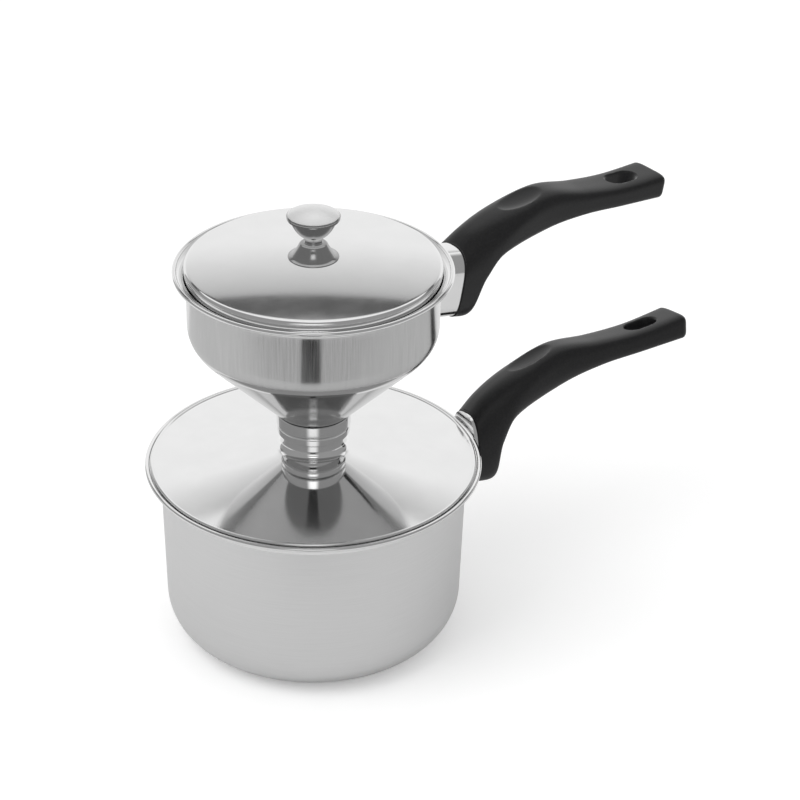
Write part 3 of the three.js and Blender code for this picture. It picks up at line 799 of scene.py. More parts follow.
@dataclass
class Pot:
    """Saucepan for the water."""

    wall: float = 80.7
    taper: float = 1.7
    corner: float = 24.0
    corner_steps: int = 16
    rim_radius: float = 88.8
    rim_height: float = 99.2

    @property
    def rim(self) -> Rim:
        """Flared rim at the top of the wall."""
        return Rim(self.wall, self.rim_radius, self.rim_height)

    def outside(self, z: float) -> float:
        """Outside of wall and rim at a height above the round corner.

        Args:
            z: The height.

        Returns:
            The radius.
        """
        start = self.rim.centre[1]
        if z > start:
            return self.rim.outside(z)
        return self.wall - self.taper * (start - z) / (start - self.corner)

    def section(self) -> list[Point]:
        """Outline of the sheet from the middle of the base to the rolled rim.

        Returns:
            The points in (radius, height).
        """
        foot = self.wall - self.taper - self.corner
        base = arc((foot, self.corner), self.corner - SHEET / 2, -QUARTER, 0, self.corner_steps)
        return sheet([(0, SHEET / 2), *base, *self.rim.line()], SHEET, BEAD)

    def zone(self, middle: Vector, normal: Vector) -> int:
        """Finish of a face.

        Args:
            middle: Middle of the face.
            normal: Its normal.

        Returns:
            0 outside, 1 on the flared rim, 2 inside.
        """
        if middle.z > self.rim.centre[1]:
            return 1
        return 0 if points_out(middle, normal) or middle.z < SHEET / 2 else 2

    def build(self) -> None:
        """Makes the pot."""
        pot = mesh_object("pot_vessel", turned(self.section()))
        dress(pot, [SATIN, MIRROR, CIRCLED], Body.POT, Slot.SATIN, ["pot_body"], self.zone)


@dataclass
class SteamCover:
    """Cover of the pot: a shallow cone that flares up into the neck, which ends in a rolled bead."""

    edge: float = 84.95
    bead: float = 0.9
    slope: float = math.radians(7.3)
    neck: float = 16.4
    flare: float = 5.5
    neck_bead: float = 19.1
    neck_bead_height: float = 5.3
    neck_bead_rounding: float = 1.3
    rounding_steps: int = 8

    def section(self) -> list[Point]:
        """Outline from the top of the neck's inside round the edge to the neck's bead.

        Returns:
            The points in (radius, height).
        """
        top, seat = top_of("steam_cover"), foot_of("steam_cover") + self.bead
        middle, bow = self.neck - SHEET / 2, self.flare - SHEET / 2
        foot = middle + bow
        height = seat + (self.edge - foot) * math.tan(self.slope) + bow / math.cos(self.slope)
        bead_foot = top - self.neck_bead_height
        line = [
            (middle, bead_foot),
            *arc((foot, height), bow, HALF_TURN, 1.5 * HALF_TURN - self.slope, FLARE_STEPS),
            (self.edge, seat),
        ]
        rounding, out = self.neck_bead_rounding, self.neck_bead - self.neck_bead_rounding
        return [
            (self.neck - SHEET, top),
            *sheet(line, SHEET, self.bead),
            *arc((out, bead_foot + rounding), rounding, -QUARTER, 0, self.rounding_steps),
            *arc((out, top - rounding), rounding, 0, QUARTER, self.rounding_steps),
        ]

    def build(self) -> None:
        """Makes the cover."""
        cover = mesh_object("cover_disc_and_neck", turned(self.section()))
        dress(cover, [POLISHED], Body.COVER, Slot.MIRROR, ["steam_cover"])


@dataclass
class CouplingCollar:
    """Loose ring on the neck, with a conical seat for the funnel."""

    radius: float = 19.5
    bore: float = 15.7
    land: float = 0.36
    rounding: float = 0.5
    rounding_steps: int = 5

    def section(self) -> list[Point]:
        """Outline of the ring.

        Returns:
            The points in (radius, height).
        """
        foot, top = foot_of("coupling_collar"), top_of("coupling_collar")
        seat = self.radius - self.land
        out = self.radius - self.rounding
        return [
            (self.bore, foot),
            *arc((out, foot + self.rounding), self.rounding, -QUARTER, 0, self.rounding_steps),
            (self.radius, top - self.land),
            (seat, top),
            (self.bore, top - (seat - self.bore)),
        ]

    def build(self) -> None:
        """Makes the collar."""
        collar = mesh_object("collar_ring", turned(self.section()))
        dress(collar, [MIRROR], Body.COLLAR, Slot.MIRROR, ["coupling_collar"])


# Pan, plate and lid


@dataclass
class Pan:
    """Funnel-bottomed pan for the couscous, with a spigot that stands in the neck."""

    wall: float = 64.8
    rim_radius: float = 71.7
    wall_height: float = 28.9
    corner: float = 17.2
    corner_steps: int = 18
    spigot: float = 15.2
    brushed_to: float = 6.4  # below the middle of the round corner
    polished_from: float = 1.0  # above the middle of the rim's flare
    slope: float = math.radians(45)

    @property
    def rim(self) -> Rim:
        """Flared rim at the top of the solid."""
        return Rim(self.wall, self.rim_radius, top_of("pan_body") - BEAD)

    @property
    def corner_height(self) -> float:
        """Height of the middle of the round corner."""
        return self.rim.height - self.wall_height

    @property
    def corner_drop(self) -> float:
        """How far the round corner's lower end is below its middle."""
        return self.corner * math.sin(self.slope)

    def outside(self, z: float) -> float:
        """Outside of rim, wall, corner or funnel at a height.

        Args:
            z: The height.

        Returns:
            The radius.
        """
        if z > self.rim.centre[1]:
            return self.rim.outside(z)
        drop = self.corner_height - z
        if drop <= 0:
            return self.wall
        if drop < self.corner_drop:
            return self.wall - self.corner + math.sqrt(self.corner**2 - drop**2)
        tangent = self.wall - self.corner + self.corner * math.cos(self.slope)
        return tangent - (drop - self.corner_drop) / math.tan(self.slope)

    def section(self) -> list[Point]:
        """Outline of the sheet from the spigot's foot to the rolled rim.

        Returns:
            The points in (radius, height).
        """
        middle = self.spigot - SHEET / 2
        centre = (self.wall - self.corner, self.corner_height)
        corner = arc(centre, self.corner - SHEET / 2, self.slope - QUARTER, 0, self.corner_steps)
        start = corner[0]
        spigot_top = start[1] - (start[0] - middle) * math.tan(self.slope)
        line = [(middle, foot_of("pan_spigot")), (middle, spigot_top), *corner, *self.rim.line()]
        return sheet(line, SHEET, BEAD)

    def zone(self, middle: Vector, normal: Vector) -> int:
        """Finish of a face.

        Args:
            middle: Middle of the face.
            normal: Its normal.

        Returns:
            0 on the brushed wall, 1 where it is polished, 2 inside, 3 on the funnel.
        """
        if middle.z > self.rim.centre[1] + self.polished_from:
            return 1
        if not points_out(middle, normal):
            return 2
        drop = self.corner_height - middle.z
        if drop < self.brushed_to:
            return 0
        return 1 if drop < self.corner_drop else 3

    def build(self) -> None:
        """Makes the pan."""
        pan = mesh_object("pan_vessel", turned(self.section()))
        nodes = ["pan_body", "pan_funnel", "pan_spigot"]
        # The funnel's greyer steel is painted shade
        dress(pan, [BRUSHED, MIRROR, CIRCLED, FUNNEL_SHADED], Body.PAN, Slot.SATIN, nodes, self.zone)


@dataclass
class SteamPlate:
    """Loose pierced plate that carries the couscous above the funnel."""

    radius: float = 57.5
    hole: float = 5.0
    hole_sides: int = 24
    pitch: float = 15.0
    rings: int = 3
    more_per_ring: int = 6

    def build(self) -> None:
        """Makes the plate from its outline and its rings of holes."""
        foot, top = foot_of("steam_plate"), top_of("steam_plate")
        bm = bmesh.new()
        bmesh.ops.create_circle(bm, segments=ROUND, radius=self.radius * MM)
        for ring in range(self.rings + 1):
            count = max(1, self.more_per_ring * ring)
            for i in range(count):
                turn = Matrix.Rotation(2 * HALF_TURN * i / count, 4, "Z")
                spot = Matrix.Translation(turn @ Vector((ring * self.pitch * MM, 0, 0)))
                bmesh.ops.create_circle(bm, segments=self.hole_sides, radius=self.hole / 2 * MM, matrix=spot)
        bmesh.ops.triangle_fill(bm, use_beauty=True, edges=bm.edges)
        bmesh.ops.recalc_face_normals(bm, faces=bm.faces)
        bmesh.ops.solidify(bm, geom=bm.faces, thickness=(top - foot) * MM)
        low = min(v.co.z for v in bm.verts)
        bmesh.ops.translate(bm, verts=bm.verts, vec=(0, 0, foot * MM - low))
        bmesh.ops.recalc_face_normals(bm, faces=bm.faces)
        plate = mesh_object("plate_pierced", bm)
        dress(plate, [MILL], Body.PLATE, Slot.PLAIN, ["steam_plate"])


@dataclass
class Lid:
    """Domed lid with a turned-down edge, and the knob that is screwed to it."""

    radius: float = 65.9
    dome: float = 4.25
    dome_steps: int = 40
    edge: float = 1.7
    edge_steps: int = 12
    skirt: float = 3.3
    tuck: float = 0.3
    bore: float = 2.3
    flange: float = 13.1
    flange_width: float = 1.4
    bell_top: float = 7.5
    shoulder: float = 1.3
    shoulder_end: float = 0.25  # angle at which the shoulder runs into the flank
    shoulder_steps: int = 6
    hollow: float = 0.8
    flank_steps: int = 12
    knob_sheet: float = 0.8
    waist: float = 4.9
    waist_steps: int = 8
    belly: float = 10.1
    belly_height: float = 3.5
    belly_steps: int = 18
    boss_height: float = 7.0
    chamfer: float = 0.6
    cap: float = 13.7
    cap_edge: float = 1.8
    cap_dome: float = 3.4
    cap_steps: int = 24
    seam: float = 0.3
    seam_depth: float = 0.48
    washer: float = 5.5
    screw_shank: float = 2.0
    screw_head: float = 3.75
    screw_head_height: float = 2.4

    def shell_section(self) -> list[Point]:
        """Outline of the dome and its turned-down edge.

        Returns:
            The points in (radius, height).
        """
        middle = self.radius - SHEET / 2
        shoulder = top_of("lid_shell") - SHEET / 2 - self.dome
        inner = middle - self.edge
        curve = (self.dome**2 + inner**2 - self.edge**2) / (2 * (self.dome - self.edge))
        start, end = math.acos(self.bore / curve), math.acos(inner / (curve - self.edge))
        dome = arc((0, shoulder + self.dome - curve), curve, start, end, self.dome_steps)
        dome += arc((inner, shoulder), self.edge, end, 0, self.edge_steps)[1:]
        return sheet([*dome, (middle - self.tuck, shoulder - self.skirt)], SHEET, SHEET / 2)

    def bell_section(self) -> list[Point]:
        """Outline of the knob's hollow foot.

        Returns:
            The points in (radius, height).
        """
        foot, top = foot_of("knob_base"), top_of("knob_base")
        half, side = self.knob_sheet / 2, self.flange - self.flange_width
        turn_in = (self.bell_top - self.shoulder, top - self.shoulder)
        round_top = arc(turn_in, self.shoulder - half, QUARTER, self.shoulder_end, self.shoulder_steps)
        aim = ((self.bell_top + side) / 2 - self.hollow, (top + foot) / 2 - self.hollow)
        flank = bend(round_top[-1], aim, (side - half, foot + self.knob_sheet), self.flank_steps)
        line = [(self.bore, top - half), *round_top, *flank[1:], (self.flange - half, foot + half)]
        return sheet(line, self.knob_sheet, half)

    def neck_section(self) -> list[Point]:
        """Outline of the narrow ring between the knob's foot and cup.

        Returns:
            The points in (radius, height).
        """
        foot, top = foot_of("knob_neck_ring"), top_of("knob_neck_ring")
        aim = (self.waist - self.chamfer, (foot + top) / 2)
        side = bend((self.waist, foot), aim, (self.waist, top), self.waist_steps)
        return [(self.bore, foot), *side, (self.bore, top)]

    def cup_section(self) -> list[Point]:
        """Outline of the knob's cup with the boss for its screw.

        Returns:
            The points in (radius, height).
        """
        foot, top = foot_of("knob_cup"), top_of("knob_cup")
        start, aim = (self.waist, foot + self.chamfer), (self.belly, foot + self.belly_height)
        side = bend(start, aim, (self.cap - self.knob_sheet - GAP, top), self.belly_steps)
        boss, boss_top = self.waist - self.chamfer, foot + self.boss_height
        inside = [p for p in offset(side, self.knob_sheet) if p[0] > boss + self.knob_sheet]
        core = [(boss, boss_top), (self.bore, boss_top)]
        return [(self.bore, foot), (boss, foot), *side, *inside[::-1], *core]

    def cap_section(self) -> list[Point]:
        """Outline of the domed cap, with the fine seam over its crimped band.

        Returns:
            The points in (radius, height).
        """
        foot = foot_of("knob_cap")
        brow = foot + self.cap_edge
        thick, seam = self.knob_sheet, self.seam

        def rise(r: float) -> float:
            """Height of the dome at a radius."""
            return brow + self.cap_dome * (1 - (r / self.cap) ** 2)

        steps = [self.cap * i / self.cap_steps for i in range(self.cap_steps)]
        under = [r for r in steps if r < self.cap - thick]
        return [
            *[(r, rise(r) - thick) for r in under],
            (self.cap - thick, foot),
            (self.cap - seam, foot),
            (self.cap - seam / 2, foot + seam),
            (self.cap - seam / 2, brow - 2 * seam),
            (self.cap - self.seam_depth, brow - 1.5 * seam),
            (self.cap, brow - seam),
            *[(r, rise(r)) for r in reversed(steps)],
        ]

    def build(self) -> None:
        """Makes the lid, the four steel pieces of its knob, and the screw and washer under it."""
        shell = mesh_object("lid_dome", turned(self.shell_section()))
        dress(shell, [BUFFED], Body.LID, Slot.MIRROR, ["lid_shell"])
        knob = {
            "knob_base": self.bell_section(),
            "knob_neck_ring": self.neck_section(),
            "knob_cup": self.cup_section(),
            "knob_cap": self.cap_section(),
        }
        brow = foot_of("knob_cap") + self.cap_edge
        pieces = []
        for node, section in knob.items():
            piece = mesh_object(node + "_polished", turned(section, SMALL_ROUND))
            # Foot and cup take the darkened steel, which is painted shade
            dress(piece, [KNOB_SHADED, GLOSSED], Body.LID, Slot.MIRROR, [node], lambda spot, _: int(spot.z > brow))
            pieces.append(piece)
        ring = ring_section(self.washer, self.bore, foot_of("knob_washer"), top_of("knob_washer"))
        washer = mesh_object("knob_washer_plain", turned(ring, SMALL_ROUND))
        dress(washer, [MILL], Body.LID, Slot.PLAIN, ["knob_washer"])
        foot = foot_of("knob_screw")
        screw = Screw(self.screw_shank, self.screw_head, self.screw_head_height, top_of("knob_screw") - foot)
        place = Matrix.Translation((0, 0, foot * MM))
        pieces.append(screw.build("knob_screw_slotted", place, Body.LID, "knob_screw"))
        # The lid shows no image of its knob, so mirrors leave the knob out
        for piece in pieces:
            piece.visible_glossy = False


# Handles


def share_at(knots: Sequence[Point], out: float) -> float:
    """Searches a curve that runs outwards for a place.

    Args:
        knots: Knots of the curve.
        out: How far out the place is.

    Returns:
        Its share along the curve.
    """
    low, high = 0.0, 1.0
    for _ in range(HALVINGS):
        middle = (low + high) / 2
        low, high = (middle, high) if spline(knots, middle).x < out else (low, middle)
    return low


@dataclass(frozen=True)
class Place:
    """Where a handle stands: its root face's top, and how it is turned, in degrees."""

    out: float
    height: float
    tilt: float
    roll: float
    azimuth: float

    def matrix(self) -> Matrix:
        """The place as a matrix.

        Returns:
            The matrix, in millimetres.
        """
        turn = Matrix.Rotation(math.radians(self.azimuth), 4, "Z")
        spot = turn @ Vector((self.out, 0, self.height))
        lean = Matrix.Rotation(-math.radians(self.tilt), 4, "Y")
        roll = Matrix.Rotation(math.radians(self.roll), 4, "X")
        return Matrix.Translation(spot) @ turn @ lean @ roll


@dataclass
class Handle:
    """Bakelite handle on a vessel, with its flame guard, screw and washer.

    Shapes are made in the handle's own frame: X out from the root face, Z up from the top of that face.
    """

    vessel: str
    body: Body
    outside: Callable[[float], float]  # radius of the vessel at a height
    place: Place
    mirrored: bool  # whether polished steel shows it
    length: float = 134.1
    bend_out: float = 55.0
    rise: float = 28.4
    dip: float = 0.1
    end_rise: float = 34.8
    slot_share: float = 0.25  # of the way from rise to end_rise, at the hanging slot
    root_height: float = 38.6
    root_width: float = 28.5
    root_chamfer: float = 0.5
    waist_width: float = 24.2
    end_width: float = 26.4
    foot: float = 11.9
    foot_rise: float = 0.5
    heel: float = 3.6
    grip: float = 14.6
    end_thickness: float = 13.9
    slot_thickness: float = 12.6
    rounding: float = 3.6
    side_rounding: float = 5.2
    bulge: float = 4.0
    end_steps: int = 10
    root_power: float = 2.7
    floor_power: float = 4.0
    end_power: float = 5.0
    square_from: float = 0.4  # share of the length from which the section grows squarer
    flat_to: float = 0.2  # share of the length up to which the underside is flatter
    slot_length: float = 18.8
    slot_width: float = 12.0
    slot_from_end: float = 23.9
    slot_lip: float = 1.2
    slot_past: float = 3.0  # how far its tool stands out of the handle
    slot_steps: int = 24
    lip_steps: int = 6
    scoop_out: float = 41.0
    scoop_length: float = 30.0
    scoop_width: float = 18.0
    scoop_depth: float = 2.2
    scoop_height: float = 6.6  # half height of the round that the scoop is a part of
    guard_inset: float = 0.6
    screw_drop: float = 24.0
    bracket_height: float = 18.0
    screw_seat: float = 6.5
    counterbore: float = 5.3
    bore: float = 2.8
    bore_past: float = 1.0  # how far its tool stands out of the root face
    washer: float = 5.0
    washer_thickness: float = 1.0
    screw_shank: float = 2.5
    screw_head: float = 4.5
    screw_head_height: float = 3.5
    screw_bite: float = 7.0  # how far the screw goes past the root face
    sides: int = 96
    stations: int = 168
    plate_steps: int = 10

    @property
    def crown_length(self) -> float:
        """Length up to where the far end face starts to bulge."""
        return self.length - self.bulge

    @property
    def third(self) -> float:
        """A third of the way from the bend to the far end."""
        return (self.crown_length - self.bend_out) / 3

    @property
    def slot_rise(self) -> float:
        """Height of the top line at the hanging slot."""
        return mixed(self.rise, self.end_rise, self.slot_share)

    @property
    def crown(self) -> list[Point]:
        """Knots of the top line.

        Returns:
            How far out and up each of them is.
        """
        return [
            (0, 0),
            (0.145 * self.bend_out, 0.28 * self.rise),
            (0.365 * self.bend_out, 0.54 * self.rise),
            (0.635 * self.bend_out, 0.76 * self.rise),
            (self.bend_out, self.rise),
            (self.bend_out + self.third, self.rise - self.dip),
            (self.bend_out + 2 * self.third, self.slot_rise),
            (self.crown_length, self.end_rise),
        ]

    @property
    def underside(self) -> list[Point]:
        """Knots of the bottom line, in step with the top line's.

        Returns:
            How far out and up each of them is.
        """
        return [
            (0, -self.root_height),
            (self.foot, self.foot_rise - self.root_height),
            (self.foot + self.heel, -0.61 * self.root_height),
            (self.foot + 0.24 * self.bend_out, -0.185 * self.root_height),
            (self.bend_out, self.rise - 1.5 * self.grip),
            (self.bend_out + self.third, self.rise - self.dip - self.grip),
            (self.bend_out + 2 * self.third, self.slot_rise - self.slot_thickness),
            (self.crown_length, self.end_rise - self.end_thickness),
        ]

    @property
    def half_width(self) -> list[Point]:
        """Knots of the half width, in step with the top line's.

        Returns:
            Number and half width of each of them.
        """
        root, waist, end = self.root_width / 2, self.waist_width / 2, self.end_width / 2
        widths = [root, root, root, 0.98 * root, waist, waist, (waist + end) / 2, end]
        return list(enumerate(widths))

    def ring(self, share: float, inset: float = 0.0, out: float = 0.0, narrow: float = 0.0) -> list[Vector]:
        """Points round one section of the handle.

        Args:
            share: Place along the top line.
            inset: How much smaller the section is all round.
            out: How far it is moved out.
            narrow: How much smaller it is sideways, beyond the inset.

        Returns:
            The points.
        """
        high, low = spline(self.crown, share), spline(self.underside, share)
        middle, up = (high + low) / 2, (high - low) / 2
        half = spline(self.half_width, share).y - inset - narrow
        squarer = (share - self.square_from) / (1 - self.square_from)
        power = mixed(self.root_power, self.end_power, squarer)
        floor_power = max(power, mixed(self.floor_power, self.root_power, share / self.flat_to))
        shrink = 1 - inset / up.length
        section = squared_ring(half, shrink, power, floor_power, self.sides)
        return [Vector((middle.x + up.x * z + out, y, middle.y + up.y * z)) for y, z in section]

    def scooped(self, point: Vector, spot: Vector, along: Vector) -> Vector:
        """A point of the skin, pressed down into the thumb scoop.

        Args:
            point: The point.
            spot: Middle of the scoop on the top line.
            along: Direction of the top line there.

        Returns:
            The point, moved where the scoop is below it.
        """
        height, lifted = self.scoop_height, self.scoop_height - self.scoop_depth
        spread = 2 * math.sqrt(1 - (lifted / height) ** 2)
        way = Vector((point.x - spot.x, point.z - spot.y))
        u, w = way.dot(along), way.y * along.x - way.x * along.y
        reach = (u * spread / self.scoop_length) ** 2 + (point.y * spread / self.scoop_width) ** 2
        if reach >= 1 or w < -height:
            return point
        drop = min(0.0, lifted - height * math.sqrt(1 - reach) - w)
        return point + Vector((-along.y, 0, along.x)) * drop

    def moulding(self) -> BMesh:
        """The handle with its rounded far end and its thumb scoop.

        Returns:
            The mesh.
        """
        share = share_at(self.crown, self.scoop_out)
        spot = spline(self.crown, share)
        along = spline(self.crown, share + SHARE_STEP) - spline(self.crown, share - SHARE_STEP)
        along.normalize()
        rings = [self.ring(0.0, inset=self.root_chamfer), self.ring(0.0, out=self.root_chamfer)]
        rings += [self.ring(i / self.stations) for i in range(2, self.stations + 1)]
        for i in range(1, self.end_steps + 1):
            turn = QUARTER * i / self.end_steps
            drawn_in, out = 1 - math.cos(turn), self.bulge * math.sin(turn)
            narrow = (self.side_rounding - self.rounding) * drawn_in
            rings.append(self.ring(1.0, self.rounding * drawn_in, out, narrow))
        return lofted([[self.scooped(p, spot, along) for p in ring] for ring in rings], hollow=False)

    def slot_tool(self) -> BMesh:
        """The hanging slot's shape, opening into a rounded lip at both faces.

        Returns:
            The mesh.
        """
        half, radius = (self.slot_length - self.slot_width) / 2, self.slot_width / 2
        middle = self.length - self.slot_from_end
        turns = [QUARTER * i / self.lip_steps for i in range(1, self.lip_steps + 1)]
        steps = [(self.slot_lip * (1 - math.sin(a)), self.slot_lip * (1 - math.cos(a))) for a in turns]
        levels = [(steps[0][0], -self.slot_past), *steps]

        def outline(knots: Sequence[Point], grown: float, up: float) -> list[Vector]:
            """Outline of the slot along a line of the handle.

            Args:
                knots: Knots of the line.
                grown: How much larger than the slot it is.
                up: How far it is above the line.

            Returns:
                The points.
            """
            ends = arc((half, 0), radius + grown, -QUARTER, QUARTER, self.slot_steps)
            ends += arc((-half, 0), radius + grown, QUARTER, 3 * QUARTER, self.slot_steps)
            points = []
            for x, y in ends:
                line = spline(knots, share_at(knots, middle + x)).y
                points.append(Vector((middle + x, y, line + up)))
            return points

        rings = [outline(self.crown, grown, -deep) for grown, deep in levels]
        rings += [outline(self.underside, grown, deep) for grown, deep in reversed(levels)]
        return lofted(rings, hollow=False)

    def rod(self, section: Sequence[Point]) -> BMesh:
        """A turned shape laid along the screw's axis.

        Args:
            section: Its outline in (radius, distance out from the root face).

        Returns:
            The mesh.
        """
        bm = turned(section, SMALL_ROUND)
        lay = Matrix.Translation((0, 0, -self.screw_drop * MM)) @ Matrix.Rotation(QUARTER, 4, "Y")
        bmesh.ops.transform(bm, matrix=lay, verts=bm.verts)
        return bm

    def guard(self) -> BMesh:
        """Sleeve of sheet steel from the handle's root to the vessel, closed there above the bracket.

        Returns:
            The mesh.
        """
        place = self.place.matrix()
        foot = self.bracket_height / 2 - self.screw_drop + GAP

        def to_wall(y: float, z: float) -> float:
            """Searches a line along the handle for the vessel's wall.

            Args:
                y: How far the line is to the side.
                z: How far it is up.

            Returns:
                How far out the line comes clear of the wall.
            """
            near, far = -GAP, -2 * self.root_height
            for _ in range(HALVINGS):
                x = (near + far) / 2
                spot = place @ Vector((x, y, z))
                clear = math.hypot(spot.x, spot.y) > self.outside(spot.z) + GAP
                near, far = (x, far) if clear else (near, x)
            return near

        def skin(inset: float, thick: float) -> list[list[Vector]]:
            """One side of the sleeve's sheet, from the handle to the wall and down the end plate there.

            Args:
                inset: How much smaller than the handle's root it is.
                thick: How far it is from the outside of the end plate.

            Returns:
                The points of each ring.
            """
            half, tall = self.root_width / 2 - inset, self.root_height / 2 - inset
            section = squared_ring(half, tall, self.root_power, self.floor_power, self.sides)
            spots = [(y, z - self.root_height / 2) for y, z in section]
            rings = [[Vector((-GAP, y, z)) for y, z in spots]]
            for i in range(self.plate_steps + 1):
                ring = []
                for y, z in spots:
                    low = mixed(z, min(z, foot), i / self.plate_steps)
                    ring.append(Vector((to_wall(y, low) + thick * (z > foot), y, low)))
                rings.append(ring)
            return rings

        outer, inner = skin(self.guard_inset, 0.0), skin(self.guard_inset + SHEET, SHEET)
        return lofted([*outer, *inner[::-1]], hollow=True)

    def build(self) -> None:
        """Makes the handle, its guard, its washer and its screw, and dresses the bracket's solid."""
        name, place = self.vessel, self.place.matrix()
        place.translation *= MM
        handle = mesh_object(name + "_grip", self.moulding())
        cut(handle, mesh_object("slot_tool", self.slot_tool()))
        far = self.screw_seat + 2 * self.foot
        hole = [(0, -self.bore_past), (self.bore, -self.bore_past), (self.bore, self.screw_seat)]
        hole += [(self.counterbore, self.screw_seat), (self.counterbore, far), (0, far)]
        cut(handle, mesh_object("bore_tool", self.rod(hole)))
        handle.data.transform(place)
        dress(handle, [BAKELITE], self.body, Slot.BAKELITE, [name + "_handle"])

        guard = mesh_object(name + "_guard_sleeve", self.guard())
        guard.data.transform(place)
        dress(guard, [MIRROR], self.body, Slot.MIRROR, [name + "_flame_guard"])

        low = self.screw_seat + GAP
        high = low + self.washer_thickness
        ring = ring_section(self.washer, self.bore, low, high)
        washer = mesh_object(name + "_grip_washer", self.rod(ring))
        washer.data.transform(place)
        dress(washer, [MILL], self.body, Slot.PLAIN, [name + "_handle_washer"])

        face = high + GAP + self.screw_head_height
        fastener = Screw(self.screw_shank, self.screw_head, self.screw_head_height, face + self.screw_bite)
        lay = Matrix.Translation((face * MM, 0, -self.screw_drop * MM)) @ Matrix.Rotation(-QUARTER, 4, "Y")
        screw = fastener.build(name + "_grip_screw", place @ lay, self.body, name + "_handle_screw")

        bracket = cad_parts[name + "_bracket"]
        for holder in bracket.material_slots:
            holder.material = MILL.material()
        for piece in (handle, guard, washer, screw, bracket):
            piece.visible_glossy = self.mirrored


# Studio


@dataclass(frozen=True)
class Patch:
    """A part of the room that polished steel mirrors, with soft edges.

    Each edge is two angles in degrees: the patch starts to show at the first and is whole at the second.

    Fields:
        level: Its brightness.
        sides: Its edge to either side, measured from the camera's direction.
        heights: Its lower or upper edges or both, measured from the horizon.
    """

    level: float
    sides: Point
    heights: tuple[Point, ...] = ()


# Each patch lies over the ones before it
ROOM = (
    Patch(0.45, sides=(112, 140)),  # wall behind the set
    Patch(0.66, sides=(110, 80), heights=((-14, -22),)),  # floor in front of it
    Patch(0.12, sides=(112, 140), heights=((20, 28),)),  # dark ceiling behind it
    Patch(1.05, sides=(112, 140), heights=((36.3, 38.5),)),  # lit ceiling above that
    Patch(1.2, sides=(24, 6), heights=((8, 10), (25, 23))),  # light box below the camera
    Patch(1.6, sides=(24, 6), heights=((32, 33.5), (47, 45))),  # light box above the camera
    Patch(0.03, sides=(16, 11), heights=((24, 26), (32, 31))),  # dark bar between them
    Patch(0.03, sides=(10, 7.5), heights=((0, -3),)),  # dark stand below the horizon
)


